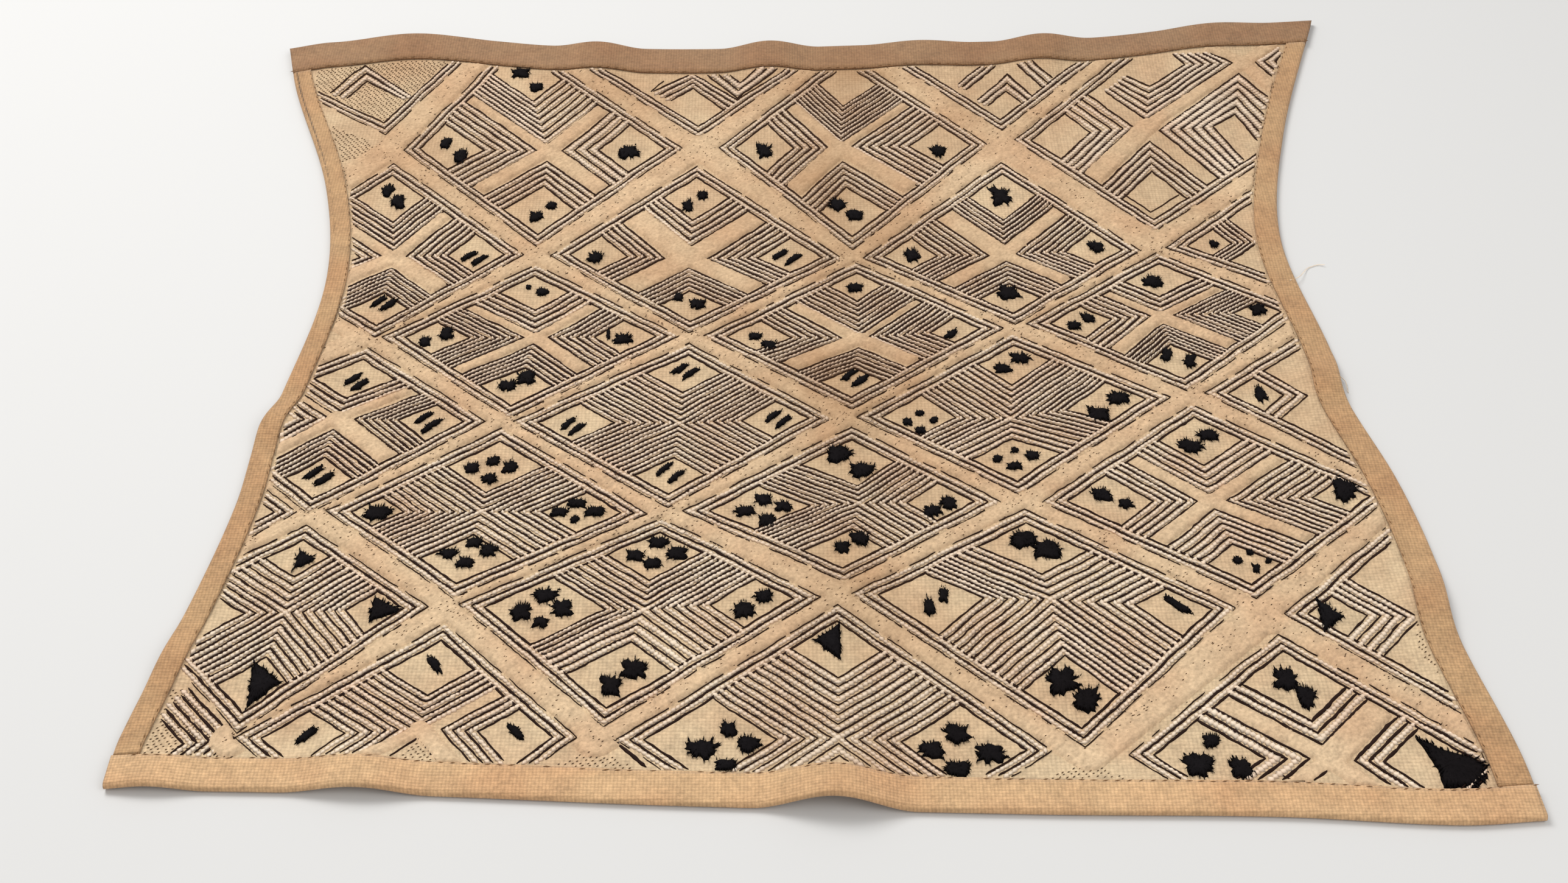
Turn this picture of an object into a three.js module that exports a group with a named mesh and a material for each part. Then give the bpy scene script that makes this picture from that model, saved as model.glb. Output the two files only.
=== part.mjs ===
// A kuba raffia cloth laid out flat: one embroidered panel, and the four plain raffia
// strips that are folded round its raw edges and sewn down. The near and far strips run
// the full width, and the side strips end against them.
// Millimetres, +X to the right, +Y to the far edge, +Z up, resting on z = 0.

import * as THREE from "three";

// Driving sizes
const PANEL_THICK = 1.5;
const STRIP_THICK = 1.0;
const GAP = 0.4;
const EDGE_GAP = 0.5;
const FOLD_RADIUS = 2.2;
const PANEL_INSET = 1.6;
const SETTLE_RUN = 14;
const MIDDLE_LINES = 30;

const STRIP_STACK = 2 * STRIP_THICK + 2 * GAP + PANEL_THICK;
const MARGIN_LIFT = STRIP_THICK + GAP;

const COLOURS = {
  panel: "#c7a77c",
  strip: "#c79c6e",
};

// Where the four corners lie, as [x, y]
const CORNERS = {
  nearLeft: [-308.5, -296.5],
  nearRight: [312, -313],
  farLeft: [-325, 285],
  farRight: [324, 318],
};

// Visible width of each strip on the face, at the start and at the end of its edge
const STRIP_WIDTHS = {
  near: { start: 16.5, end: 17.5 },
  far: { start: 28, end: 26 },
  left: { start: 12.5, end: 10.5 },
  right: { start: 16.5, end: 12.5 },
};

// How far each edge comes in from the straight line between its corners. The near and
// far edges are read from left to right, and the side edges from near to far.
const EDGE_ROWS = {
  near: [
    { along: 0, inset: 0 },
    { along: 0.2, inset: 0.6 },
    { along: 0.4, inset: -2 },
    { along: 0.65, inset: -2.4 },
    { along: 0.82, inset: -1 },
    { along: 0.94, inset: -3.4 },
    { along: 1, inset: 0 },
  ],
  far: [
    { along: 0, inset: 0 },
    { along: 0.04, inset: -6 },
    { along: 0.17, inset: -5 },
    { along: 0.25, inset: 4.5 },
    { along: 0.39, inset: 13.5 },
    { along: 0.62, inset: 14 },
    { along: 0.78, inset: 13 },
    { along: 0.88, inset: 4.5 },
    { along: 1, inset: 0 },
  ],
  left: [
    { along: 0, inset: 0 },
    { along: 0.05, inset: 2 },
    { along: 0.2, inset: 20.5 },
    { along: 0.3, inset: 30 },
    { along: 0.39, inset: 33.5 },
    { along: 0.44, inset: 41 },
    { along: 0.6, inset: 52 },
    { along: 0.75, inset: 41 },
    { along: 0.92, inset: 10.5 },
    { along: 1, inset: 0 },
  ],
  right: [
    { along: 0, inset: 0 },
    { along: 0.06, inset: 3.5 },
    { along: 0.17, inset: 16.5 },
    { along: 0.24, inset: 17 },
    { along: 0.33, inset: 25 },
    { along: 0.43, inset: 40.3 },
    { along: 0.48, inset: 41 },
    { along: 0.64, inset: 53.6 },
    { along: 0.8, inset: 37 },
    { along: 1, inset: 0 },
  ],
};

// Places where an edge lifts off the surface: how far along its edge the lift is, half
// its length, how far it reaches into the cloth and how high it stands
const LIFTS = [
  { edge: "near", along: 0.51, half: 37, reach: 70, height: 10 },
  { edge: "near", along: 0.175, half: 34, reach: 55, height: 5 },
  { edge: "near", along: 0.03, half: 26, reach: 40, height: 3 },
  { edge: "far", along: 0.12, half: 52, reach: 85, height: 4.5 },
  { edge: "far", along: 0.3, half: 30, reach: 70, height: 4.5 },
  { edge: "far", along: 0.465, half: 32, reach: 80, height: 5.5 },
  { edge: "far", along: 0.61, half: 36, reach: 60, height: 2.5 },
  { edge: "far", along: 0.73, half: 32, reach: 75, height: 5 },
  { edge: "far", along: 0.9, half: 40, reach: 60, height: 2.5 },
  { edge: "left", along: 0.4, half: 24, reach: 45, height: 3 },
  { edge: "left", along: 0.13, half: 26, reach: 36, height: 2 },
  { edge: "right", along: 0.45, half: 24, reach: 45, height: 3 },
  { edge: "right", along: 0.2, half: 30, reach: 40, height: 2.5 },
];

// Soft creases in the middle of the panel, with their centres, half lengths, half widths
// and heights; each is turned by its angle in degrees from the X axis
const CREASES = [
  { x: 20, y: -58, long: 46, wide: 20, turn: 78, height: 2.2 },
  { x: 24, y: -118, long: 40, wide: 17, turn: 100, height: 1.6 },
];

function smoothRow(rows, along) {
  let row = 0;
  while (row < rows.length - 2 && along > rows[row + 1].along) row += 1;
  const slopeAt = (k) => {
    const before = rows[Math.max(k - 1, 0)];
    const after = rows[Math.min(k + 1, rows.length - 1)];
    return (after.inset - before.inset) / (after.along - before.along);
  };
  const start = rows[row];
  const end = rows[row + 1];
  const span = end.along - start.along;
  const t = (along - start.along) / span;
  const rest = 1 - t;
  const kept = start.inset * (1 + 2 * t) * rest * rest + end.inset * t * t * (3 - 2 * t);
  return kept + span * t * rest * (slopeAt(row) * rest - slopeAt(row + 1) * t);
}

function mix(a, b, t) {
  return a + (b - a) * t;
}

function between(from, to, t) {
  return [mix(from[0], to[0], t), mix(from[1], to[1], t)];
}

const EDGE_ENDS = {
  near: { from: CORNERS.nearLeft, to: CORNERS.nearRight, inward: [0, 1] },
  far: { from: CORNERS.farLeft, to: CORNERS.farRight, inward: [0, -1] },
  left: { from: CORNERS.nearLeft, to: CORNERS.farLeft, inward: [1, 0] },
  right: { from: CORNERS.nearRight, to: CORNERS.farRight, inward: [-1, 0] },
};

function edgePoint(edge, along) {
  const { from, to, inward } = EDGE_ENDS[edge];
  const inset = smoothRow(EDGE_ROWS[edge], along);
  const [x, y] = between(from, to, along);
  return [x + inward[0] * inset, y + inward[1] * inset];
}

// A point of the cloth's plan: u runs from the left to the right edge and v from the
// near to the far edge, both from 0 to 1
function plan(u, v) {
  const near = edgePoint("near", u);
  const far = edgePoint("far", u);
  const left = edgePoint("left", v);
  const right = edgePoint("right", v);
  const nearLine = between(CORNERS.nearLeft, CORNERS.nearRight, u);
  const farLine = between(CORNERS.farLeft, CORNERS.farRight, u);
  return [0, 1].map((k) => {
    const across = mix(left[k], right[k], u);
    const lengthways = mix(near[k], far[k], v);
    return across + lengthways - mix(nearLine[k], farLine[k], v);
  });
}

function widthAt(v) {
  return edgePoint("right", v)[0] - edgePoint("left", v)[0];
}

function lengthAt(u) {
  return edgePoint("far", u)[1] - edgePoint("near", u)[1];
}

function stripWidth(edge, along) {
  const { start, end } = STRIP_WIDTHS[edge];
  return mix(start, end, along);
}

// The four distances of a point from the edges, and its place along each of them
function reaches(u, v) {
  const width = widthAt(v);
  const length = lengthAt(u);
  return {
    near: { along: u, depth: v * length, run: width },
    far: { along: u, depth: (1 - v) * length, run: width },
    left: { along: v, depth: u * width, run: length },
    right: { along: v, depth: (1 - u) * width, run: length },
  };
}

function hump(t) {
  const side = Math.min(Math.abs(t), 1);
  return Math.cos((side * Math.PI) / 2) ** 2;
}

// Height of the cloth's lowest layer over the surface it lies on
function rise(u, v) {
  const edges = reaches(u, v);
  let height = 0;
  for (const lift of LIFTS) {
    const { along, depth, run } = edges[lift.edge];
    const beside = ((along - lift.along) * run) / lift.half;
    height += lift.height * hump(beside) * hump(depth / lift.reach);
  }
  const [x, y] = plan(u, v);
  for (const crease of CREASES) {
    const turn = THREE.MathUtils.degToRad(crease.turn);
    const dx = x - crease.x;
    const dy = y - crease.y;
    const lengthways = (dx * Math.cos(turn) + dy * Math.sin(turn)) / crease.long;
    const across = (dy * Math.cos(turn) - dx * Math.sin(turn)) / crease.wide;
    height += crease.height * hump(lengthways) * hump(across);
  }
  return height;
}

// The panel's rim lies on the strips' lower layers, and comes down to the surface
// inside them
function marginLift(u, v) {
  let lift = 0;
  for (const [edge, { along, depth }] of Object.entries(reaches(u, v))) {
    const start = stripWidth(edge, along) + EDGE_GAP;
    const down = (depth - start) / (SETTLE_RUN - EDGE_GAP);
    lift = Math.max(lift, MARGIN_LIFT * THREE.MathUtils.clamp(1 - down, 0, 1));
  }
  return lift;
}

// Depths of the grid lines along an edge, from the width of its strip
const RIM_DEPTHS = [
  () => PANEL_INSET,
  (width) => width + EDGE_GAP,
  (width) => width + SETTLE_RUN,
];

// Grid lines run at those depths along both edges, and evenly over the middle. Each is a
// function that gives the line's u or v at a place along it.
function gridLines(startEdge, endEdge, sizeAt) {
  const startAt = (depth, along) => depth(stripWidth(startEdge, along)) / sizeAt(along);
  const endAt = (depth, along) => 1 - depth(stripWidth(endEdge, along)) / sizeAt(along);
  const inner = RIM_DEPTHS[RIM_DEPTHS.length - 1];
  const lines = RIM_DEPTHS.map((depth) => (along) => startAt(depth, along));
  for (let k = 1; k < MIDDLE_LINES; k += 1) {
    const share = k / MIDDLE_LINES;
    lines.push((along) => mix(startAt(inner, along), endAt(inner, along), share));
  }
  for (const depth of [...RIM_DEPTHS].reverse()) lines.push((along) => endAt(depth, along));
  return lines;
}

const ACROSS_LINES = gridLines("left", "right", widthAt);
const LENGTH_LINES = gridLines("near", "far", lengthAt);

function place(u, v, lift) {
  const [x, y] = plan(u, v);
  return [x, y, rise(u, v) + lift];
}

// Two triangles that meet on the diagonal from the first corner to the third
function addQuad(faces, a, b, c, d) {
  faces.push(a, b, c, a, c, d);
}

function solidGeometry(points, faces) {
  const geometry = new THREE.BufferGeometry();
  geometry.setAttribute("position", new THREE.Float32BufferAttribute(points.flat(), 3));
  geometry.setIndex(faces);
  geometry.computeVertexNormals();
  return geometry;
}

// The panel: a top and an underside on the same grid, closed round the rim
function panelGeometry() {
  const columns = ACROSS_LINES.length;
  const rows = LENGTH_LINES.length;
  const points = [];
  for (const thickness of [0, PANEL_THICK]) {
    for (let j = 0; j < rows; j += 1) {
      for (let i = 0; i < columns; i += 1) {
        const v = LENGTH_LINES[j](i / (columns - 1));
        const u = ACROSS_LINES[i](v);
        points.push(place(u, v, marginLift(u, v) + thickness));
      }
    }
  }
  const layer = columns * rows;
  const at = (i, j) => j * columns + i;
  const faces = [];
  for (let j = 0; j < rows - 1; j += 1) {
    for (let i = 0; i < columns - 1; i += 1) {
      const [a, b, c, d] = [at(i, j), at(i + 1, j), at(i + 1, j + 1), at(i, j + 1)];
      addQuad(faces, layer + a, layer + b, layer + c, layer + d);
      faces.push(a, c, b, a, d, c);
    }
  }
  const rim = [];
  for (let i = 0; i < columns - 1; i += 1) rim.push(at(i, 0));
  for (let j = 0; j < rows - 1; j += 1) rim.push(at(columns - 1, j));
  for (let i = columns - 1; i > 0; i -= 1) rim.push(at(i, rows - 1));
  for (let j = rows - 1; j > 0; j -= 1) rim.push(at(0, j));
  rim.forEach((a, k) => {
    const b = rim[(k + 1) % rim.length];
    addQuad(faces, a, b, layer + b, layer + a);
  });
  return solidGeometry(points, faces);
}

// A strip's section, from its edge under the cloth, round the fold, to its edge on the
// face: outer and inner points in pairs, as depth from the fold and height
function stripSection(width) {
  const half = STRIP_STACK / 2;
  const shoulder = FOLD_RADIUS / 5;
  const lining = PANEL_INSET - EDGE_GAP;
  const upper = STRIP_STACK - STRIP_THICK;
  return [
    { outer: [width, 0], inner: [width, STRIP_THICK] },
    { outer: [FOLD_RADIUS, 0], inner: [FOLD_RADIUS, STRIP_THICK] },
    { outer: [shoulder, shoulder], inner: [lining, STRIP_THICK] },
    { outer: [0, half], inner: [STRIP_THICK, half] },
    { outer: [shoulder, STRIP_STACK - shoulder], inner: [lining, upper] },
    { outer: [FOLD_RADIUS, STRIP_STACK], inner: [FOLD_RADIUS, upper] },
    { outer: [width, STRIP_STACK], inner: [width, upper] },
  ];
}

// Stations of the near or the far strip: its two ends and each grid line that it
// crosses. A station gives the place of a point by its depth and its height.
function lengthwaysStations(edge) {
  const last = ACROSS_LINES.length - 1;
  const crossed = ACROSS_LINES.map((line, i) => ({ line, along: i / last }));
  const start = { line: () => 0, along: 0 };
  const end = { line: () => 1, along: 1 };
  return [start, ...crossed, end].map(({ line, along }) => (depth, height) => {
    const inward = depth(stripWidth(edge, along)) / lengthAt(along);
    const v = edge === "near" ? inward : 1 - inward;
    return place(line(v), v, height);
  });
}

// Stations of a side strip, which stops short of the near and the far strip
function sideStations(edge) {
  const side = edge === "left" ? 0 : 1;
  const crossed = LENGTH_LINES.slice(2, -2);
  const first = (u) => (stripWidth("near", u) + EDGE_GAP) / lengthAt(u);
  const final = (u) => 1 - (stripWidth("far", u) + EDGE_GAP) / lengthAt(u);
  return [first, ...crossed, final].map((line) => (depth, height) => {
    const v = line(side);
    const inward = depth(stripWidth(edge, v)) / widthAt(v);
    const u = edge === "left" ? inward : 1 - inward;
    return place(u, v, height);
  });
}

function stripGeometry(edge) {
  const points = [];
  const fullWidth = edge === "near" || edge === "far";
  const sections = fullWidth ? lengthwaysStations(edge) : sideStations(edge);
  const pairs = stripSection(0).length;
  for (const station of sections) {
    for (let k = 0; k < pairs; k += 1) {
      for (const skin of ["outer", "inner"]) {
        const depth = (width) => stripSection(width)[k][skin][0];
        points.push(station(depth, stripSection(0)[k][skin][1]));
      }
    }
  }
  const at = (station, pair, skin) => (station * pairs + pair) * 2 + skin;
  const faces = [];
  const last = sections.length - 1;
  const fold = (pairs - 1) / 2;
  const startSide = edge === "near" || edge === "left";
  for (let s = 0; s < last; s += 1) {
    for (let k = 0; k < pairs - 1; k += 1) {
      // The diagonals lie as the panel's do, so that bent layers stay apart
      const onDiagonal = (k >= fold) === startSide;
      const outer = [at(s, k, 0), at(s, k + 1, 0), at(s + 1, k + 1, 0), at(s + 1, k, 0)];
      const inner = [at(s, k, 1), at(s + 1, k, 1), at(s + 1, k + 1, 1), at(s, k + 1, 1)];
      for (const [a, b, c, d] of [outer, inner]) {
        if (onDiagonal) addQuad(faces, a, b, c, d);
        else addQuad(faces, b, c, d, a);
      }
    }
    const end = pairs - 1;
    addQuad(faces, at(s, 0, 0), at(s + 1, 0, 0), at(s + 1, 0, 1), at(s, 0, 1));
    addQuad(faces, at(s, end, 0), at(s, end, 1), at(s + 1, end, 1), at(s + 1, end, 0));
  }
  for (let k = 0; k < pairs - 1; k += 1) {
    addQuad(faces, at(0, k, 0), at(0, k, 1), at(0, k + 1, 1), at(0, k + 1, 0));
    addQuad(faces, at(last, k, 0), at(last, k + 1, 0), at(last, k + 1, 1), at(last, k, 1));
  }
  const turned = edge === "near" || edge === "right";
  return solidGeometry(points, turned ? faces.reverse() : faces);
}

function clothMaterial(colour) {
  return new THREE.MeshStandardMaterial({ color: colour, roughness: 0.95, metalness: 0 });
}

function namedMesh(name, geometry, colour) {
  const mesh = new THREE.Mesh(geometry, clothMaterial(colour));
  mesh.name = name;
  return mesh;
}

const cloth = new THREE.Group();
cloth.add(namedMesh("panel", panelGeometry(), COLOURS.panel));
for (const edge of ["near", "far", "left", "right"]) {
  cloth.add(namedMesh(`${edge}_strip`, stripGeometry(edge), COLOURS.strip));
}

// The origin goes under the middle of the cloth's box
cloth.updateMatrixWorld(true);
const box = new THREE.Box3().setFromObject(cloth, true);
const middle = box.getCenter(new THREE.Vector3());
for (const mesh of cloth.children) {
  mesh.geometry.translate(-middle.x, -middle.y, -box.min.z);
}

export default cloth;
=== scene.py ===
"""A kuba raffia cloth laid out flat: an embroidered panel, and four plain strips round it.

Shapes are in millimetres, in the plan of the cloth, as in the CAD source. The needlework's
tables are in millimetres too, in a chart of their own. A mesh is put into metres, round the
frame's own middle, when it is made.
"""

import math
from collections import namedtuple

import bpy
import numpy as np
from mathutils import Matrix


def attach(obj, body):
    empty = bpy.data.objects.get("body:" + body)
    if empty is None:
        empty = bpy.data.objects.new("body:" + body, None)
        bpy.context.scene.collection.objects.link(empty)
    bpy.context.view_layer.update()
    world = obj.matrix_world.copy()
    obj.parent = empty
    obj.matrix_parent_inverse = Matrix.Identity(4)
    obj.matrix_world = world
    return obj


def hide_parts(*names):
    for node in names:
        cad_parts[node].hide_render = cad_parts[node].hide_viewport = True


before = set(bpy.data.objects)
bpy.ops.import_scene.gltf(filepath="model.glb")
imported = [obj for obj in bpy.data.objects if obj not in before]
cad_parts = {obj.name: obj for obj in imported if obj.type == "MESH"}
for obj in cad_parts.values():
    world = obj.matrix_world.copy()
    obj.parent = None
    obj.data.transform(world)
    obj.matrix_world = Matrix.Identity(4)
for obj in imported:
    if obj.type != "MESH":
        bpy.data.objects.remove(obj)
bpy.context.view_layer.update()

bl_info = {
    "name": "Kuba raffia cloth",
    "version": (1, 0, 0),
    "blender": (4, 5, 0),
    "location": "View3D > Sidebar > Raffia cloth",
    "description": "Makes an embroidered raffia cloth with cut pile, cords and folded edge strips",
    "category": "Add Mesh",
}

MM = 0.001

# The cloth's solid sizes, as in the CAD source
PANEL_THICK = 1.5
STRIP_THICK = 1.0
GAP = 0.4
EDGE_GAP = 0.5
FOLD_RADIUS = 2.2
PANEL_INSET = 1.6
SETTLE_RUN = 14
STRIP_STACK = 2 * STRIP_THICK + 2 * GAP + PANEL_THICK
MARGIN_LIFT = STRIP_THICK + GAP

CORNERS = {
    "near_left": (-308.5, -296.5),
    "near_right": (312, -313),
    "far_left": (-325, 285),
    "far_right": (324, 318),
}

# Visible width of each strip on the face, at the start and at the end of its edge
STRIP_WIDTHS = {"near": (16.5, 17.5), "far": (28, 26), "left": (12.5, 10.5), "right": (16.5, 12.5)}

# How far each edge comes in from the line between its corners: (along, inset)
EDGE_ROWS = {
    "near": [(0, 0), (0.2, 0.6), (0.4, -2), (0.65, -2.4), (0.82, -1), (0.94, -3.4), (1, 0)],
    "far": [
        (0, 0), (0.04, -6), (0.17, -5), (0.25, 4.5), (0.39, 13.5), (0.62, 14), (0.78, 13),
        (0.88, 4.5), (1, 0),
    ],
    "left": [
        (0, 0), (0.05, 2), (0.2, 20.5), (0.3, 30), (0.39, 33.5), (0.44, 41), (0.6, 52),
        (0.75, 41), (0.92, 10.5), (1, 0),
    ],
    "right": [
        (0, 0), (0.06, 3.5), (0.17, 16.5), (0.24, 17), (0.33, 25), (0.43, 40.3), (0.48, 41),
        (0.64, 53.6), (0.8, 37), (1, 0),
    ],
}

Lift = namedtuple("Lift", "edge along half reach height")
LIFTS = [
    Lift("near", 0.51, 37, 70, 10),
    Lift("near", 0.175, 34, 55, 5),
    Lift("near", 0.03, 26, 40, 3),
    Lift("far", 0.12, 52, 85, 4.5),
    Lift("far", 0.3, 30, 70, 4.5),
    Lift("far", 0.465, 32, 80, 5.5),
    Lift("far", 0.61, 36, 60, 2.5),
    Lift("far", 0.73, 32, 75, 5),
    Lift("far", 0.9, 40, 60, 2.5),
    Lift("left", 0.4, 24, 45, 3),
    Lift("left", 0.13, 26, 36, 2),
    Lift("right", 0.45, 24, 45, 3),
    Lift("right", 0.2, 30, 40, 2.5),
]

Crease = namedtuple("Crease", "x y long wide turn height")
CREASES = [Crease(20, -58, 46, 20, 78, 2.2), Crease(24, -118, 40, 17, 100, 1.6)]

# The needlework was charted in a plan whose origin lies under the eye of the
# camera; the eye's height and the chart's plane place a charted point on the cloth
CHART_ORIGIN = (14, 876)
EYE_HEIGHT = 745
CHART_HEIGHT = 3

# Where the bands of pile cross, as (x, y) in the chart
NODES = {
    "S0": (-60, 1280), "S1": (135, 1282), "S2": (330, 1290),
    "T0": (-174, 1185), "T1": (40, 1166), "T2": (235, 1190), "T3": (420, 1180),
    "A0": (-232.5, 1053.3), "A1": (-50, 1054), "A2": (129, 1058), "A3": (315, 1060),
    "B9": (-310, 950), "B0": (-139.2, 952.5), "B1": (40, 949.2), "B2": (210, 957.5),
    "B3": (400, 975),
    "C0": (-219.2, 880), "C1": (-50, 881.7), "C2": (124, 890), "C3": (295, 903),
    "D9": (-310, 816), "D0": (-142.5, 813.3), "D1": (33.3, 817.5), "D2": (210, 836.3),
    "D3": (380, 832),
    "E9": (-390, 748), "E0": (-232.5, 748.3), "E1": (-58.3, 747.5), "E2": (115.8, 755.8),
    "E3": (305, 760),
    "F9": (-310, 680), "F0": (-156.7, 685.8), "F1": (25, 693.3), "F2": (225, 681.7),
    "F3": (400, 680),
    "G9": (-400, 605), "G0": (-244.2, 605.8), "G1": (-83.3, 605.8), "G2": (133.3, 598.3),
    "G3": (330, 590),
    "H9": (-330, 530), "H0": (-163, 530), "H1": (25, 520), "H2": (238, 515),
}

# The cells between the bands: the crossings at their corners, and where their middle lies
Cell = namedtuple("Cell", "left top right bottom middle")
CELLS = {
    1: Cell("A0", "T0", "A1", "B0", (-139.2, 1050.8)),
    2: Cell("T0", "S0", "T1", "A1", (-55, 1143)),
    3: Cell("A1", "T1", "A2", "B1", (33.3, 1054)),
    4: Cell("T1", "S1", "T2", "A2", (136, 1160)),
    5: Cell("A2", "T2", "A3", "B2", (219, 1077.5)),
    7: Cell("B9", "A0", "B0", "C0", (-217.5, 949.2)),
    8: Cell("B0", "A1", "B1", "C1", (-53.3, 948)),
    9: Cell("B1", "A2", "B2", "C2", (123.3, 951.5)),
    10: Cell("B2", "A3", "B3", "C3", (290, 966)),
    11: Cell("C0", "B0", "C1", "D0", (-132.5, 880)),
    12: Cell("C1", "B1", "C2", "D1", (40, 879.2)),
    13: Cell("C2", "B2", "C3", "D2", (203.3, 898.3)),
    14: Cell("D9", "C0", "D0", "E0", (-229.2, 815.8)),
    15: Cell("D0", "C1", "D1", "E1", (-53.3, 812.5)),
    16: Cell("D1", "C2", "D2", "E2", (115.8, 815.8)),
    17: Cell("D2", "C3", "D3", "E3", (292, 833)),
    18: Cell("E0", "D0", "E1", "F0", (-148.3, 748.3)),
    19: Cell("E1", "D1", "E2", "F1", (36.7, 754.2)),
    20: Cell("E2", "D2", "E3", "F2", (210, 755.8)),
    21: Cell("F9", "E0", "F0", "G0", (-232.5, 681.7)),
    22: Cell("F0", "E1", "F1", "G1", (-65.8, 683.3)),
    23: Cell("F1", "E2", "F2", "G2", (125, 690)),
    24: Cell("F2", "E3", "F3", "G3", (315, 678)),
    25: Cell("G0", "F0", "G1", "H0", (-161.7, 612.5)),
    26: Cell("G1", "F1", "G2", "H1", (24.2, 606.7)),
    27: Cell("G2", "F2", "G3", "H2", (238.3, 595)),
    28: Cell("E9", "D9", "E0", "F9", (-311, 748)),
}

# Sides of cells along which no pile was sewn
PLAIN_BANDS = {
    ("A3", "T2"), ("F9", "G0"), ("G0", "H0"), ("G1", "H0"), ("G1", "H1"), ("G2", "H1"),
    ("G2", "H2"), ("G3", "H2"),
}

# Outlines that no crossing gives, clockwise from the left corner
RINGS = {
    0: [(-300, 1124), (-250, 1200), (-185, 1196), (-241, 1079)],
    5: [(147, 1062), (236, 1172), (345, 1172), (296, 1064), (211, 984)],
}

# The corners of each cell, as (left, top, right, bottom). Shares of the way from the crossing
# to the cell's middle: where the outline turns, where the plain ground ends, and where the
# last of its nested lines turns, or 0 where they run on to the middle; then how many there are
Ground = namedtuple("Ground", "rim border last lines")
CORNER_NAMES = ("left", "top", "right", "bottom")
CORNER_PLACES = (0, 1, -2, -1)
BARE = (0.22, 0, 0, 0)
GROUNDS = {
    1: (
        (0.175, 0.59, 0.93, 6), (0.19, 0.61, 0.955, 8), (0.23, 0.67, 0.91, 4), (0.18, 0.645, 0.9, 5),
    ),
    2: (BARE, BARE, BARE, (0.247, 0, 0, 0)),
    3: (
        (0.25, 0.67, 0.912, 5), (0.2, 0.61, 0.965, 9), (0.19, 0.577, 0.94, 7), (0.18, 0.626, 0.87, 5),
    ),
    4: (BARE, BARE, BARE, (0.25, 0, 0, 0)),
    5: ((0.2, 0.605, 0.896, 5), BARE, BARE, (0.2, 0.6, 0.858, 5)),
    7: (
        (0.2, 0.6, 0.93, 6), (0.257, 0.69, 0.943, 6), (0.21, 0.615, 0.915, 6), (0.146, 0.55, 0.857, 7),
    ),
    8: (
        (0.225, 0.605, 0.847, 5), (0.276, 0.667, 0.898, 5), (0.198, 0.59, 0.884, 6), (0.178, 0.58, 0.87, 6),
    ),
    9: ((0.186, 0.55, 0.89, 7), (0.28, 0.7, 0.91, 6), (0.242, 0.61, 0.93, 7), (0.17, 0.58, 0.9, 6)),
    10: ((0.2, 0.52, 0.71, 5), BARE, BARE, BARE),
    11: (
        (0.186, 0.595, 0.925, 7), (0.27, 0.68, 0.96, 5), (0.223, 0.625, 0.915, 6), (0.19, 0.64, 0.915, 6),
    ),
    12: (
        (0.218, 0.6, 0.9, 6), (0.2, 0.55, 0.97, 8), (0.223, 0.545, 0.945, 8), (0.24, 0.615, 0.877, 6),
    ),
    13: (
        (0.237, 0.655, 0.936, 5), (0.23, 0.72, 0.95, 4), (0.28, 0.565, 0.925, 8), (0.165, 0.62, 0.885, 6),
    ),
    14: (
        (0.2, 0.64, 0.96, 5), (0.27, 0.757, 0.965, 4), (0.249, 0.635, 0.89, 6), (0.13, 0.58, 0.88, 6),
    ),
    15: ((0.186, 0.63, 0, 7), (0.23, 0.665, 0, 6), (0.24, 0.635, 0, 7), (0.2, 0.61, 0, 7)),
    16: ((0.2, 0.67, 0, 6), (0.22, 0.65, 0, 6), (0.24, 0.69, 0, 6), (0.24, 0.745, 0, 4)),
    17: ((0.244, 0.6, 0.75, 3), BARE, BARE, BARE),
    18: ((0.246, 0.55, 0, 8), (0.218, 0.79, 0, 4), (0.236, 0.67, 0, 6), (0.23, 0.75, 0, 4)),
    19: ((0.23, 0.75, 0, 5), (0.27, 0.8, 0, 4), (0.275, 0.7, 0, 5), (0.28, 0.71, 0, 5)),
    20: (
        (0.246, 0.7, 0.93, 5), (0.237, 0.685, 0.94, 5), (0.17, 0.475, 0.916, 8), (0.242, 0.6, 0.92, 6),
    ),
    21: ((0.2, 0.745, 0, 4), (0.28, 0.66, 0, 5), (0.28, 0.635, 0, 6), (0.2, 0.64, 0, 6)),
    22: ((0.18, 0.81, 0, 4), (0.2, 0.71, 0, 5), (0.223, 0.66, 0, 6), (0.23, 0.745, 0, 4)),
    23: ((0.19, 0.69, 0, 6), (0.225, 0.75, 0, 4), (0.25, 0.61, 0, 7), (0.153, 0.615, 0, 7)),
    24: ((0.218, 0.52, 0.79, 5), BARE, BARE, BARE),
    25: ((0.16, 0.605, 0, 6), (0.29, 0.735, 0, 5), (0.24, 0.67, 0.88, 4), (0.2, 0.94, 0.94, 1)),
    26: ((0.2, 0.745, 0, 5), (0.19, 0.59, 0, 7), (0.25, 0.75, 0, 5), (0.2, 0.88, 0, 2)),
    27: (
        (0.276, 0.735, 0.92, 3), (0.27, 0.75, 0.905, 3), (0.26, 0.735, 0.88, 3), (0.2, 0.94, 0.94, 1),
    ),
    28: (BARE, BARE, BARE, BARE),
}

# How far along a side, clockwise, two quarters meet, where it isn't half way: by the cell
# and the corner that the side starts at
MEETINGS = {(1, 1): 0.6}

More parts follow.
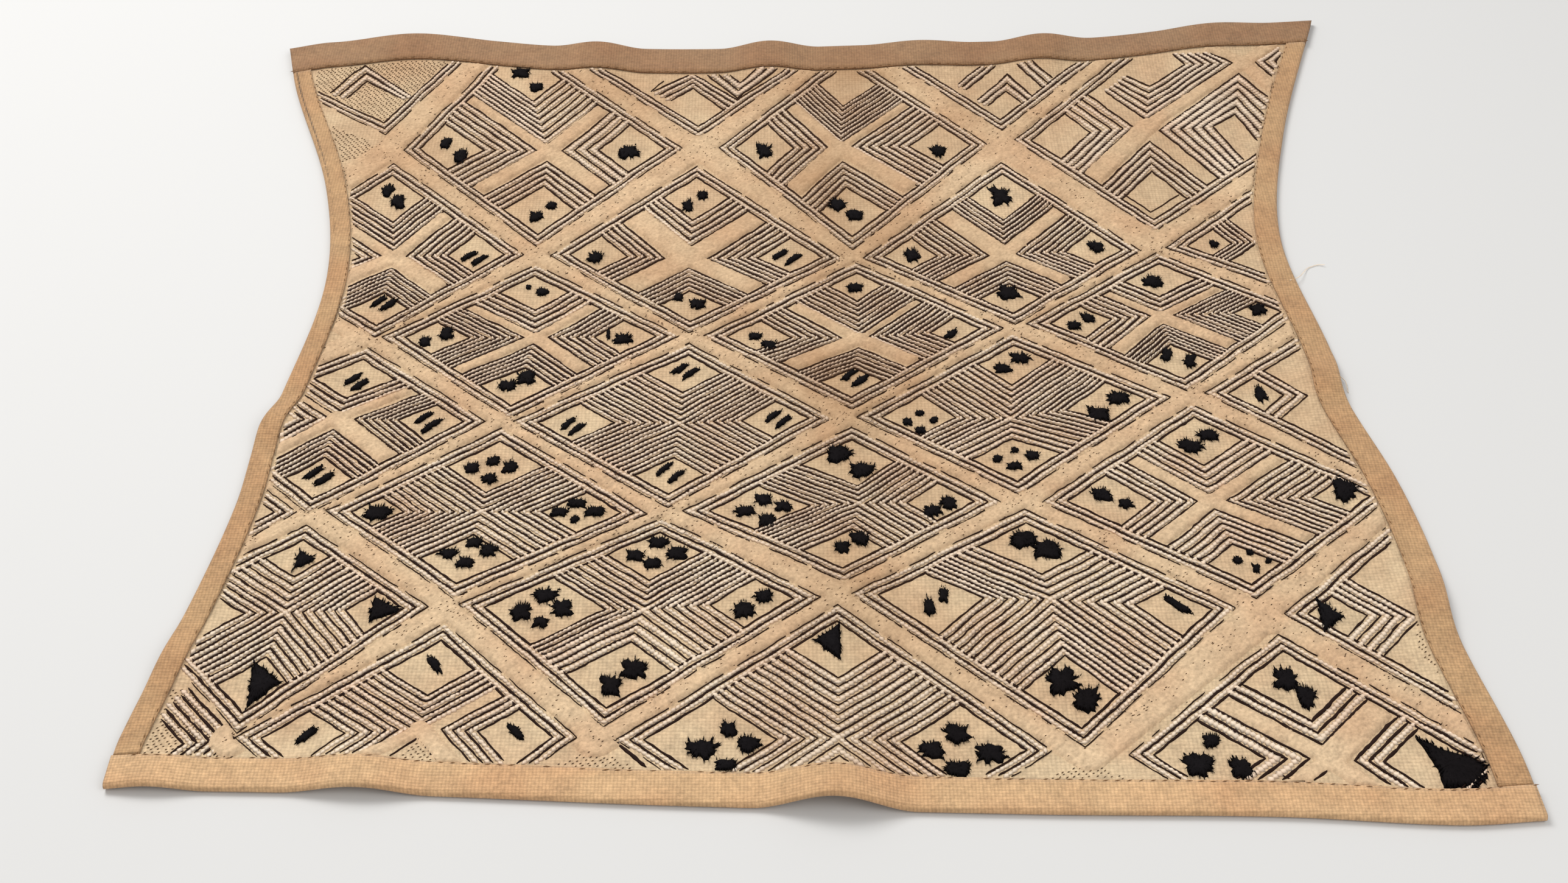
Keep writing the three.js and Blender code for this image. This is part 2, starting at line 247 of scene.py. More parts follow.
# Nested lines that follow no cell: the first and the last of them, and how many there are
Nest = namedtuple("Nest", "first last lines")
NESTS = [
    Nest([(-267, 1106), (-257, 1124), (-234, 1106)], [(-278, 1112), (-261, 1142), (-228, 1108)], 3),
    Nest([(-69, 1103), (-56, 1117), (-36, 1093)], [(-80, 1113), (-57, 1133), (-28, 1104)], 4),
    Nest([(-38, 1138), (-27, 1123), (-16, 1141)], [(-49, 1133), (-28, 1106), (-3, 1142)], 3),
    Nest([(124, 1098), (136, 1114), (145, 1101)], [(118, 1104), (138, 1132), (151, 1109)], 3),
    Nest([(112, 1115), (136, 1148)], [(107, 1121), (125, 1145)], 3),
    Nest([(159, 1118), (143, 1149)], [(166, 1128), (155, 1149)], 3),
    Nest(
        [(212, 1130), (225, 1119), (250, 1143), (244, 1155)],
        [(197, 1113), (219, 1083), (279, 1145), (267, 1156)],
        6,
    ),
    Nest(
        [(270, 1042), (258, 1076), (273, 1089), (283, 1059)],
        [(254, 1023), (225, 1072), (282, 1133), (297, 1105)],
        6,
    ),
    Nest([(308, 1142), (307, 1147), (311, 1153)], [(303, 1128), (294, 1147), (311, 1164)], 3),
    Nest([(-279, 620), (-264, 604), (-269, 598)], [(-269, 635), (-243, 607), (-251, 595)], 5),
]

# Single dark lines: their points, and their width
Line = namedtuple("Line", "points width")
LINES = [
    Line([(-82, 1113), (-74, 1124)], 1.3),
    Line([(194, 1012), (210, 991), (228, 1007)], 1.3),
    Line([(-78, 608), (-72, 603), (-58, 589)], 2.4),
    Line([(-77, 607), (-75, 610)], 1.6),
    Line([(214, 588), (231, 577)], 0.7),
    Line([(213, 584.5), (228, 574)], 0.7),
    Line([(301, 636), (305, 606), (307, 585)], 0.5),
]

# Plain ground with rows of tiny stitches: the points round each, clockwise
STIPPLED = [
    [(-290, 1110), (-290, 1157), (-205, 1157), (-241, 1079)],
    [(-300, 1010), (-300, 1095), (-247, 1062), (-241, 1051)],
    [(-300, 590), (-300, 640), (-264, 634), (-248, 605), (-258, 590)],
    [(-256, 585), (-256, 597), (-244, 601), (-222, 585)],
    [(-112, 585), (-84, 602), (-66, 592), (-60, 583)],
    [(110, 583), (133, 596), (152, 583)],
    [(-176, 590), (-161, 606), (-147, 590)],
    [(298, 640), (290, 660), (298, 700), (330, 700), (330, 640)],
    [(-12, 1135), (-3, 1157), (20, 1157), (10, 1145)],
]
STIPPLE_ROW = 1.9
STIPPLE_STEP = 2.6

# Arms of pile that no corner gives, by their cell, ends and half width
LONG_ARMS = [
    (5, [(219, 1077.5), (287, 1145)], 4.6),
    (5, [(287, 1145), (268, 1163)], 4.6),
    (5, [(287, 1145), (304, 1108)], 4.6),
    (5, [(287, 1145), (310, 1168)], 4.6),
    (25, [(-161.7, 611), (-188, 594)], 3.2),
]

# The dark figures in each cell, by the corner of the cell that they stand in: the middle,
# width and height of each tuft, and its lean to the right in degrees
Tuft = namedtuple("Tuft", "x y width height lean", defaults=(0,))
BAR = (4.4, 14.5, 42)


def bar(x, y):
    """One of a pair of slanting bars, which are all of one size."""
    return Tuft(x, y, *BAR)


FIGURES = {
    (1, "top"): [Tuft(-163.3, 1134.2, 13, 14), Tuft(-151.7, 1117.5, 10, 12)],
    (1, "left"): [Tuft(-200.8, 1057.5, 8, 14), Tuft(-191.2, 1045.8, 10, 17)],
    (1, "right"): [Tuft(-91.7, 1049.2, 15, 17)],
    (1, "bottom"): [Tuft(-133.3, 996.7, 8, 9), Tuft(-141.2, 986.7, 9, 10)],
    (3, "left"): [Tuft(-12, 1050.8, 12, 20)],
    (3, "right"): [Tuft(91.3, 1050, 10, 18)],
    (3, "bottom"): [Tuft(30.8, 998.3, 12, 14), Tuft(40, 987.5, 11, 13)],
    (7, "top"): [Tuft(-229.2, 1010.8, 8, 15), Tuft(-221.7, 1000.8, 9, 16)],
    (7, "right"): [bar(-175.8, 950), bar(-170, 946)],
    (7, "bottom"): [bar(-220.8, 910), bar(-215, 906.7)],
    (8, "top"): [Tuft(-47, 1006.3, 8, 11), Tuft(-55.3, 996.7, 8, 12)],
    (8, "left"): [Tuft(-105, 949.2, 9, 12)],
    (8, "right"): [bar(-1.7, 951.7), bar(4.2, 946.7)],
    (8, "bottom"): [Tuft(-58, 914, 7, 8), Tuft(-46.5, 908.5, 9, 9)],
    (9, "top"): [Tuft(125, 1006.7, 15, 22)],
    (9, "left"): [Tuft(71.7, 950.8, 12, 15)],
    (9, "right"): [Tuft(174.7, 958.3, 10, 12)],
    (9, "bottom"): [Tuft(123, 917.5, 15, 14)],
    (10, "left"): [Tuft(241.2, 960.8, 6, 8)],
    (11, "top"): [Tuft(-140, 922.5, 4, 4), Tuft(-132, 918.3, 8, 7)],
    (11, "left"): [Tuft(-191.5, 876.5, 8, 10), Tuft(-180.5, 883, 9, 11)],
    (11, "right"): [Tuft(-94, 882, 3, 10), Tuft(-86, 879.2, 12, 10)],
    (11, "bottom"): [Tuft(-143.7, 840.8, 11, 11), Tuft(-135.3, 847.5, 11, 11)],
    (12, "top"): [Tuft(38.7, 922, 11, 9)],
    (12, "left"): [Tuft(-15.3, 880.8, 8, 7), Tuft(-8, 873.3, 9, 9)],
    (12, "right"): [Tuft(89.2, 882.5, 5, 12, 40)],
    (12, "bottom"): [bar(34.2, 849.2), bar(40, 845.3)],
    (13, "top"): [Tuft(202.5, 927.8, 15, 13)],
    (13, "left"): [Tuft(163.7, 895.8, 8, 9), Tuft(156.7, 890, 8, 8)],
    (13, "right"): [Tuft(257.5, 903.7, 10, 12)],
    (13, "bottom"): [Tuft(202.5, 866.5, 7, 13, 20), Tuft(214, 861.5, 8, 13, 20)],
    (14, "top"): [bar(-225.8, 845.8), bar(-220.8, 841.7)],
    (14, "right"): [bar(-185, 815.8), bar(-180, 810)],
    (14, "bottom"): [bar(-234.2, 775.8), bar(-228.3, 771.7)],
    (15, "top"): [bar(-55, 854.2), bar(-49.2, 850.8)],
    (15, "left"): [bar(-110, 812.5), bar(-105.8, 807.5)],
    (15, "right"): [bar(-5.8, 817.5), bar(0, 813.3)],
    (15, "bottom"): [bar(-60, 778.3), bar(-53.3, 773.3)],
    (16, "top"): [Tuft(115, 855, 12, 9), Tuft(125, 862.8, 12, 11)],
    (16, "left"): [
        Tuft(69.2, 819.2, 5, 5), Tuft(63, 813.3, 6, 6), Tuft(76.7, 814.5, 6, 6),
        Tuft(69.2, 806.7, 8, 6),
    ],
    (16, "right"): [Tuft(173.3, 832, 14, 12), Tuft(161.7, 819.2, 14, 13)],
    (16, "bottom"): [
        Tuft(116.7, 792, 5, 5), Tuft(107.2, 785.8, 6, 6), Tuft(125.3, 788, 8, 7),
        Tuft(115, 780.8, 9, 7),
    ],
    (17, "left"): [Tuft(247, 835.3, 8, 14)],
    (18, "top"): [
        Tuft(-146.3, 784.2, 9, 9), Tuft(-155.8, 778.7, 9, 9), Tuft(-137.5, 779.5, 9, 9),
        Tuft(-146.7, 771.7, 9, 9),
    ],
    (18, "left"): [Tuft(-197.8, 747.5, 14, 13)],
    (18, "right"): [
        Tuft(-102, 754.5, 11, 8), Tuft(-110, 748, 11, 7), Tuft(-92.5, 748.8, 11, 8),
        Tuft(-102, 743, 5, 6),
    ],
    (18, "bottom"): [
        Tuft(-149.2, 727.5, 10, 8), Tuft(-161.2, 719.7, 10, 9), Tuft(-141.7, 721.7, 10, 10),
        Tuft(-152.5, 713.7, 9, 8),
    ],
    (19, "top"): [Tuft(28, 789.2, 14, 14), Tuft(38.8, 777.5, 15, 13)],
    (19, "left"): [
        Tuft(-10, 756.2, 9, 9), Tuft(-18.3, 748.8, 12, 9), Tuft(-0.5, 752, 9, 8),
        Tuft(-8.3, 742.5, 10, 10),
    ],
    (19, "right"): [Tuft(80.8, 755, 10, 10), Tuft(72.5, 748.8, 11, 11)],
    (19, "bottom"): [Tuft(36.7, 729.2, 10, 10), Tuft(28.3, 724.2, 10, 10)],
    (20, "top"): [Tuft(215.3, 803.3, 13, 11), Tuft(205.8, 795.3, 14, 12)],
    (20, "left"): [Tuft(156.5, 760.5, 11, 9), Tuft(168, 753.5, 9, 8)],
    (20, "right"): [Tuft(278.3, 762.5, 14, 18)],
    (20, "bottom"): [
        Tuft(223.7, 720.3, 4, 4), Tuft(217.2, 715.3, 5, 5), Tuft(231.3, 715, 4, 4),
        Tuft(225, 710, 5, 7),
    ],
    (22, "top"): [
        Tuft(-60, 727, 12, 9), Tuft(-71.3, 718.3, 11, 9), Tuft(-50.8, 720, 13, 10),
        Tuft(-62.5, 713, 10, 9),
    ],
    (22, "left"): [
        Tuft(-112.5, 692.5, 14, 10), Tuft(-122.5, 682.5, 11, 12), Tuft(-103.3, 684.2, 12, 12),
        Tuft(-113.3, 675.8, 8, 8),
    ],
    (22, "right"): [Tuft(-9.2, 692, 10, 11), Tuft(-18.8, 682.8, 12, 13)],
    (22, "bottom"): [Tuft(-68.3, 646.7, 15, 16), Tuft(-79.2, 637.5, 12, 16)],
    (23, "top"): [Tuft(115.8, 729.5, 15, 12), Tuft(127, 723, 16, 15)],
    (23, "left"): [Tuft(75, 693.3, 6, 13), Tuft(67.5, 685.8, 6, 15)],
    (23, "right"): [Tuft(184.2, 686.7, 5, 20, -45)],
    (23, "bottom"): [Tuft(125.8, 640, 17, 18), Tuft(135.8, 629.2, 14, 17)],
    (25, "top"): [Tuft(-159.7, 650, 5, 17, -30)],
    (25, "left"): [Tuft(-210.8, 608.3, 5, 15, 40)],
    (25, "right"): [Tuft(-118.3, 610, 5, 15, -40)],
    (26, "left"): [
        Tuft(-25, 611.7, 10, 12), Tuft(-37, 600.8, 16, 13), Tuft(-15.8, 603.3, 12, 12),
        Tuft(-25, 591.7, 12, 7),
    ],
    (26, "right"): [
        Tuft(76.7, 609.2, 13, 12), Tuft(64.7, 600, 13, 11), Tuft(89.7, 598.3, 16, 14),
        Tuft(75.8, 590, 14, 10),
    ],
    (27, "top"): [Tuft(227.2, 640.8, 12, 16), Tuft(235, 630.8, 10, 17)],
    (27, "left"): [
        Tuft(188.3, 605, 9, 9), Tuft(180.8, 591.7, 15, 16), Tuft(199.2, 590, 12, 14),
    ],
}

# Half-filled corners: dark figures, by the points round them
HALF_FIGURES = {
    (21, "top"): [(-233, 723), (-234, 709), (-224, 716)],
    (21, "right"): [(-193, 692), (-193, 675), (-179, 683.5)],
    (21, "bottom"): [(-242, 652), (-241, 624), (-227, 639)],
    (24, "left"): [(250, 691), (261, 679), (250, 669)],
    (26, "top"): [(26, 675), (26, 652), (14, 664)],
    (27, "right"): [
        (279, 608), (289, 601), (302, 596), (307, 591), (306, 585), (300, 580), (285, 579),
        (285, 590), (281, 601),
    ],
}

# Cells, numbered as in the tables, that have an outline
OUTLINED = sorted(GROUNDS.keys() | RINGS.keys())

# Sizes of the needlework. A cell has three dark lines round it, the outermost thin and
# broken, and a pale cord between each two of them: how far out each lies, and its width
OUTLINE_DARKS = ((0, 1.7), (3.7, 1.65), (7.5, 0.85))
OUTLINE_CORDS = ((1.85, 2.5), (5.6, 2.7))

# The width under which a dark line is worn through in places
BROKEN_UNDER = 1.0

# Half the width of a band of pile, how far outside an outline it starts, and how far inside
# one an arm of pile starts
BAND_HALF = 9.5
BAND_START = 8.0
ARM_START = 1.4

# Widths of the nested dark lines: the usual one, the one in the far cells, and the cells
# whose lines are bolder still
CHEVRON_DARK = 1.4
FAR_CHEVRON_DARK = 1.85
FAR_CELLS = range(1, 15)
BOLD_CHEVRONS = {10: 1.9, 27: 2.1}

# Shares of a dark line's width that a cord and an arm of pile leave bare, and the share of
# the room in a nest of lines that its cords fill
CORD_MARGIN = 0.7
ARM_MARGIN = 0.4
NEST_CORD_SHARE = 0.8

# How far from the strips the pile and the dark figures stay
EDGE_ROOM = 0.6

# Points of the panel from near to far and from left to right, and the rounds that inset
# them; points of the coarse grid that places the pile; and points along each edge that the
# cloth's middle is taken from
GROUND_GRID = (206, 216)
INSET_STEPS = 3
COARSE_GRID = (66, 64)
OUTLINE_SAMPLES = 2001

SEEDS = {
    "pile": 11, "dark": 23, "cord": 37, "stipple": 59, "tuft": 41, "strip": 53, "seam": 67,
}


def hump(t):
    side = np.minimum(np.abs(t), 1)
    return np.cos(side * math.pi / 2) ** 2


def mix(a, b, t):
    return a + (b - a) * t


def smooth_row(rows, along):
    """The inset at places along an edge, on a smooth curve through the rows."""
    stations, insets = np.array(rows, float).T
    along = np.asarray(along, float)
    first = np.maximum(np.arange(len(rows)) - 1, 0)
    final = np.minimum(np.arange(len(rows)) + 1, len(rows) - 1)
    slopes = (insets[final] - insets[first]) / (stations[final] - stations[first])
    row = np.clip(np.searchsorted(stations, along, side="left") - 1, 0, len(rows) - 2)
    span = stations[row + 1] - stations[row]
    t = (along - stations[row]) / span
    rest = 1 - t
    kept = insets[row] * (1 + 2 * t) * rest * rest + insets[row + 1] * t * t * (3 - 2 * t)
    return kept + span * t * rest * (slopes[row] * rest - slopes[row + 1] * t)


EDGE_ENDS = {
    "near": (CORNERS["near_left"], CORNERS["near_right"], (0, 1)),
    "far": (CORNERS["far_left"], CORNERS["far_right"], (0, -1)),
    "left": (CORNERS["near_left"], CORNERS["far_left"], (1, 0)),
    "right": (CORNERS["near_right"], CORNERS["far_right"], (-1, 0)),
}


def edge_point(edge, along):
    start, end, inward = EDGE_ENDS[edge]
    inset = smooth_row(EDGE_ROWS[edge], along)
    return [mix(start[k], end[k], along) + inward[k] * inset for k in (0, 1)]


def plan(u, v):
    """Points of the cloth's plan: u runs from left to right, v from near to far."""
    near = edge_point("near", u)
    far = edge_point("far", u)
    left = edge_point("left", v)
    right = edge_point("right", v)
    point = []
    for k in (0, 1):
        across = mix(left[k], right[k], u)
        lengthways = mix(near[k], far[k], v)
        near_line = mix(CORNERS["near_left"][k], CORNERS["near_right"][k], u)
        far_line = mix(CORNERS["far_left"][k], CORNERS["far_right"][k], u)
        point.append(across + lengthways - mix(near_line, far_line, v))
    return point


def width_at(v):
    return edge_point("right", v)[0] - edge_point("left", v)[0]


def length_at(u):
    return edge_point("far", u)[1] - edge_point("near", u)[1]


def strip_width(edge, along):
    start, end = STRIP_WIDTHS[edge]
    return mix(start, end, along)


def reaches(u, v):
    """For each edge: the place along it, the depth in from it, and its length."""
    width = width_at(v)
    length = length_at(u)
    return {
        "near": (u, v * length, width),
        "far": (u, (1 - v) * length, width),
        "left": (v, u * width, length),
        "right": (v, (1 - u) * width, length),
    }


def rise(u, v):
    """Height of the cloth's lowest layer over the surface that it lies on."""
    edges = reaches(u, v)
    height = 0
    for lift in LIFTS:
        along, depth, run = edges[lift.edge]
        beside = (along - lift.along) * run / lift.half
        height = height + lift.height * hump(beside) * hump(depth / lift.reach)
    x, y = plan(u, v)
    for crease in CREASES:
        turn = math.radians(crease.turn)
        dx = x - crease.x
        dy = y - crease.y
        lengthways = (dx * math.cos(turn) + dy * math.sin(turn)) / crease.long
        across = (dy * math.cos(turn) - dx * math.sin(turn)) / crease.wide
        height = height + crease.height * hump(lengthways) * hump(across)
    return height


def margin_lift(u, v):
    """How far the panel's rim is held up by the strips' lower layers."""
    lift = 0
    for edge, (along, depth, _) in reaches(u, v).items():
        start = strip_width(edge, along) + EDGE_GAP
        down = (depth - start) / (SETTLE_RUN - EDGE_GAP)
        lift = np.maximum(lift, MARGIN_LIFT * np.clip(1 - down, 0, 1))
    return lift


# A first guess of where points lie, as half the cloth's rough width and length, and the steps
# that bring it close
ROUGH_HALF = (310, 300)
LOCATE_STEPS = 8
UNSEAT_STEPS = 4


def locate(x, y):
    """The u and v of points given in the plan."""
    u = (x + ROUGH_HALF[0]) / (2 * ROUGH_HALF[0])
    v = (y + ROUGH_HALF[1]) / (2 * ROUGH_HALF[1])
    for _ in range(LOCATE_STEPS):
        px, py = plan(u, v)
        u = u + (x - px) / width_at(v)
        v = v + (y - py) / length_at(u)
    return u, v


def face_height(u, v):
    return rise(u, v) + margin_lift(u, v) + PANEL_THICK


def drape(x, y, lift):
    """Points over the panel's face, at a lift above it."""
    u, v = locate(x, y)
    return np.stack([x, y, face_height(u, v) + lift], axis=-1)


def seat(points):
    """Charted points put where the eye sees them on the cloth, as plan x and y."""
    plain = points - np.array(CHART_ORIGIN)
    eye = -np.array(CHART_ORIGIN)
    u, v = locate(plain[:, 0], plain[:, 1])
    inside = np.clip(u, 0, 1), np.clip(v, 0, 1)
    over = face_height(*inside) - CHART_HEIGHT
    return eye + (plain - eye) * (1 - over / EYE_HEIGHT)[:, None]


def unseat(points):
    """Where points of the plan lie in the chart."""
    eye = -np.array(CHART_ORIGIN)
    plain = points
    for _ in range(UNSEAT_STEPS):
        u, v = locate(plain[:, 0], plain[:, 1])
        over = face_height(np.clip(u, 0, 1), np.clip(v, 0, 1)) - CHART_HEIGHT
        plain = eye + (points - eye) / (1 - over / EYE_HEIGHT)[:, None]
    return plain + np.array(CHART_ORIGIN)


def room_inside(x, y):
    """How far in from the strips' inner edges points lie; less than 0 is under a strip."""
    u, v = locate(x, y)
    depths = [depth - strip_width(e, along) for e, (along, depth, _) in reaches(u, v).items()]
    return np.min(depths, axis=0)


def outline_middle():
    """The middle of the plan's box, which the frame's origin lies under."""
    along = np.linspace(0, 1, OUTLINE_SAMPLES)
    points = np.concatenate([np.stack(edge_point(edge, along), axis=-1) for edge in EDGE_ROWS])
    return (points.min(axis=0) + points.max(axis=0)) / 2


FRAME_MIDDLE = outline_middle()


# Meshes


def make_mesh(name, points, faces, tone=None):
    """A mesh object in metres. faces is a list of arrays, each with one face a row."""
    mesh = bpy.data.meshes.new(name)
    moved = np.array(points, float)
    moved[:, :2] -= FRAME_MIDDLE
    mesh.vertices.add(len(moved))
    mesh.vertices.foreach_set("co", (moved * MM).astype(np.float32).ravel())
    faces = [np.asarray(group, np.int32) for group in faces if len(group)]
    corners = np.concatenate([group.ravel() for group in faces])
    sides = np.concatenate([np.full(len(group), group.shape[1], np.int32) for group in faces])
    starts = np.concatenate([[0], np.cumsum(sides)[:-1]]).astype(np.int32)
    mesh.loops.add(len(corners))
    mesh.loops.foreach_set("vertex_index", corners)
    mesh.polygons.add(len(sides))
    mesh.polygons.foreach_set("loop_start", starts)
    mesh.polygons.foreach_set("use_smooth", np.ones(len(sides), bool))
    if tone is not None:
        layer = mesh.attributes.new("tone", "FLOAT", "POINT")
        layer.data.foreach_set("value", np.asarray(tone, np.float32))
    mesh.update(calc_edges=True)
    mesh.validate()
    piece = bpy.data.objects.new(name, mesh)
    bpy.context.scene.collection.objects.link(piece)
    return piece


def grid_faces(rows, columns, start=0, flip=False):
    index = start + np.arange(rows * columns).reshape(rows, columns)
    quads = [index[:-1, :-1], index[:-1, 1:], index[1:, 1:], index[1:, :-1]]
    if flip:
        quads.reverse()
    return np.stack(quads, axis=-1).reshape(-1, 4)


def stamp(shapes, faces):
    """Points and faces of many shapes that are alike: shapes is shape, point, axis."""
    count, size = shapes.shape[:2]
    starts = (np.arange(count) * size)[:, None, None]
    return shapes.reshape(-1, 3), (starts + np.asarray(faces)[None]).reshape(-1, len(faces[0]))


# Needlework paths


def ring_of(number):
    """A cell's outline: a point for each corner, clockwise from the left one."""
    if number in RINGS:
        return np.array(RINGS[number], float)
    cell = CELLS[number]
    crossings = np.array([NODES[getattr(cell, name)] for name in CORNER_NAMES], float)
    rims = np.array([Ground(*ground).rim for ground in GROUNDS[number]])[:, None]
    return mix(crossings, np.array(cell.middle, float), rims)


def outward(ring):
    """The direction straight out from each side of a ring."""
    sides = np.roll(ring, -1, axis=0) - ring
    sides /= np.linalg.norm(sides, axis=1)[:, None]
    return np.stack([-sides[:, 1], sides[:, 0]], axis=-1)


def pushed_out(ring, away):
    """The closed path of a ring moved outwards, with its corners kept sharp."""
    out = outward(ring)
    before = np.roll(out, 1, axis=0)
    moved = ring + away * (out + before) / (1 + (out * before).sum(axis=1))[:, None]
    return np.concatenate([moved, moved[:1]])


def outside(points, ring):
    """How far out from a ring points lie; less than 0 is inside it."""
    return np.max([(points - corner) @ out for corner, out in zip(ring, outward(ring))], axis=0)


class Quarter:
    """The part of a cell round one of its corners, with the nested lines in it."""

    def __init__(self, number, corner):
        ring = ring_of(number)
        place = CORNER_PLACES[corner]
        self.ground = Ground(*GROUNDS[number][corner])
        self.turn = ring[place]
        before = (corner - 1) % len(CORNER_NAMES)
        self.ends = [
            mix(ring[place - 1], ring[place], MEETINGS.get((number, before), 0.5)),
            mix(ring[place], ring[place + 1], MEETINGS.get((number, corner), 0.5)),
        ]
        self.middle = np.array(CELLS[number].middle, float)
        usual = FAR_CHEVRON_DARK if number in FAR_CELLS else CHEVRON_DARK
        self.dark = BOLD_CHEVRONS.get(number, usual)

    def deep(self, side):
        """How far the corner lies from the line between two quarters."""
        run = self.middle - self.ends[side]
        back = self.turn - self.ends[side]
        return abs(run[0] * back[1] - run[1] * back[0]) / np.linalg.norm(run)

    def shares(self):
        """Where the nested lines turn, as shares of the way from the outline to the middle."""
        rim, border, last, lines = self.ground
        if last:
            places = np.linspace(border, last, lines)
        else:
            places = border + (1 - border) / max(lines - 0.5, 1) * np.arange(lines)
        return (places - rim) / (1 - rim)

    def path(self, share):
        return mix(self.turn, np.array([self.ends[0], self.middle, self.ends[1]]), share)

    def gap(self):
        """The room between two nested lines."""
        shares = self.shares()
        return (shares[1] - shares[0]) * (self.deep(0) + self.deep(1)) / 2


def quarters_of(number):
    return [Quarter(number, corner) for corner in range(len(CORNER_NAMES))]


def all_quarters():
    return [quarter for number in GROUNDS for quarter in quarters_of(number)]


def resample(path, step):
    """Points at even steps along a path, with one at each of its bends."""
    pieces = []
    for start, end in zip(path[:-1], path[1:]):
        count = max(int(round(np.linalg.norm(end - start) / step)), 1)
        share = np.arange(count)[:, None] / count
        pieces.append(mix(start, end, share))
    return np.concatenate([*pieces, path[-1:]])


def wobble(count, reach, size, rng):
    """Random offsets of about the given size, that drift over reach steps."""
    knots = rng.normal(0, size, max(count // reach, 1) + 3)
    return np.interp(np.arange(count) / reach, np.arange(len(knots)), knots)


# Tones of the needlework, from its dark colour at 0 to its light one at 1: middle and spread
USUAL_TONE = (0.5, 0.25)
PILE_TONE = (0.5, 0.22)
STIPPLE_TONE = (0.5, 0.3)
PAD_TONE = (0.15, 0.1)
BLADE_TONE = (0.3, 0.3)


def tones(rng, tone, count, each):
    """A random tone for each of a row of shapes, given to all of its points."""
    return np.repeat(np.clip(rng.normal(*tone, count), 0, 1), each)


# Slow waves that the whole chart is drawn with, as a hand lays it out: size in
# millimetres, waves in a metre across and lengthways, and where each wave starts
Wave = namedtuple("Wave", "size across lengthways start")
WAVES = [
    Wave(0.15, 9, 17, 0.4),
    Wave(0.15, 21, 8, 2.1),
    Wave(0.12, 31, 27, 4.0),
    Wave(0.1, -38, 33, 1.2),
]


SWAY_RATE = 1.3


def waver(points):
    """Chart points with the slow unsteadiness of hand-drawn lines."""
    moved = points.copy()
    turn = 2 * math.pi * MM
    for wave in WAVES:
        phase = turn * (points[:, 0] * wave.across + points[:, 1] * wave.lengthways) + wave.start
        moved[:, 0] += wave.size * np.sin(phase)
        moved[:, 1] += wave.size * np.cos(SWAY_RATE * phase)
    return moved


def sideways(points):
    """The directions along a line and to its left, at each of its points."""
    ahead = np.gradient(points, axis=0)
    ahead /= np.linalg.norm(ahead, axis=1)[:, None]
    return ahead, np.stack([-ahead[:, 1], ahead[:, 0]], axis=-1)


DRIFT = 0.16
DRIFT_REACH = 4


def hand_line(path, step, rng):
    """A path as a hand sews it: at even steps, and a little unsteady."""
    points = waver(resample(path, step))
    _, side = sideways(points)
    return points + side * wobble(len(points), DRIFT_REACH, DRIFT, rng)[:, None]


def runs_inside(points, least):
    """The stretches of a seated line that lie clear of the strips."""
    clear = room_inside(points[:, 0], points[:, 1]) > least
    edges = np.flatnonzero(np.diff(np.concatenate([[0], clear.astype(int), [0]])))
    return [points[a:b] for a, b in zip(edges[::2], edges[1::2]) if b - a > 2]


def outline_paths(rows):
    """The closed paths round all cells, each with its width."""
    rings = [ring_of(number) for number in OUTLINED]
    return [(pushed_out(ring, away), width) for ring in rings for away, width in rows]


def nest_path(nest, share):
    first, last = np.array([nest.first, nest.last], float)
    return mix(first, last, share)


def dark_paths():
    """Paths of the dark lines in the chart, each with its width."""
    paths = [(np.array(line.points, float), line.width) for line in LINES]
    paths += outline_paths(OUTLINE_DARKS)
    for quarter in all_quarters():
        paths += [(quarter.path(share), quarter.dark) for share in quarter.shares()]
    for nest in NESTS:
        for share in np.linspace(0, 1, nest.lines):
            paths.append((nest_path(nest, share), FAR_CHEVRON_DARK))
    return paths


def cord_paths():
    """Paths of the pale cords in the chart, each with its width."""
    paths = outline_paths(OUTLINE_CORDS)
    for quarter in all_quarters():
        if quarter.ground.lines < 2:
            continue
        width = quarter.gap() - CORD_MARGIN * quarter.dark
        shares = quarter.shares()
        paths += [(quarter.path(share), width) for share in (shares[1:] + shares[:-1]) / 2]
        if not quarter.ground.last:
            paths.append((np.array([quarter.ends[1], quarter.middle]), width))
    for nest in NESTS:
        gaps = nest.lines - 1
        reach = np.linalg.norm(nest_path(nest, 1) - nest_path(nest, 0), axis=1).mean()
        width = NEST_CORD_SHARE * (reach / gaps) - CORD_MARGIN * CHEVRON_DARK
        paths += [(nest_path(nest, share), width) for share in (np.arange(gaps) + 0.5) / gaps]
    return paths


def pile_bands():
    """The middles of the bands of pile between the cells."""
    lines = {}
    for cell in CELLS.values():
        ring = [getattr(cell, name) for name in CORNER_NAMES]
        for k, name in enumerate(ring):
            ends = tuple(sorted((name, ring[(k + 1) % 4])))
            lines[ends] = np.array([NODES[end] for end in ends], float)
    return [line for ends, line in lines.items() if ends not in PLAIN_BANDS]


def pile_arms():
    """The arms of pile inside the cells: each one's cell, middle line and half width."""
    arms = []
    for number in GROUNDS:
        quarters = quarters_of(number)
        for one, other in zip(quarters, quarters[1:] + quarters[:1]):
            if one.ground.last and other.ground.last:
                left = (1 - one.shares()[-1]) * one.deep(1)
                right = (1 - other.shares()[-1]) * other.deep(0)
                half = (left + right) / 2 - ARM_MARGIN * one.dark
                arms.append((number, np.array([one.ends[1], one.middle]), half))
    return arms + [(number, np.array(line, float), half) for number, line, half in LONG_ARMS]


# Pieces of the cloth


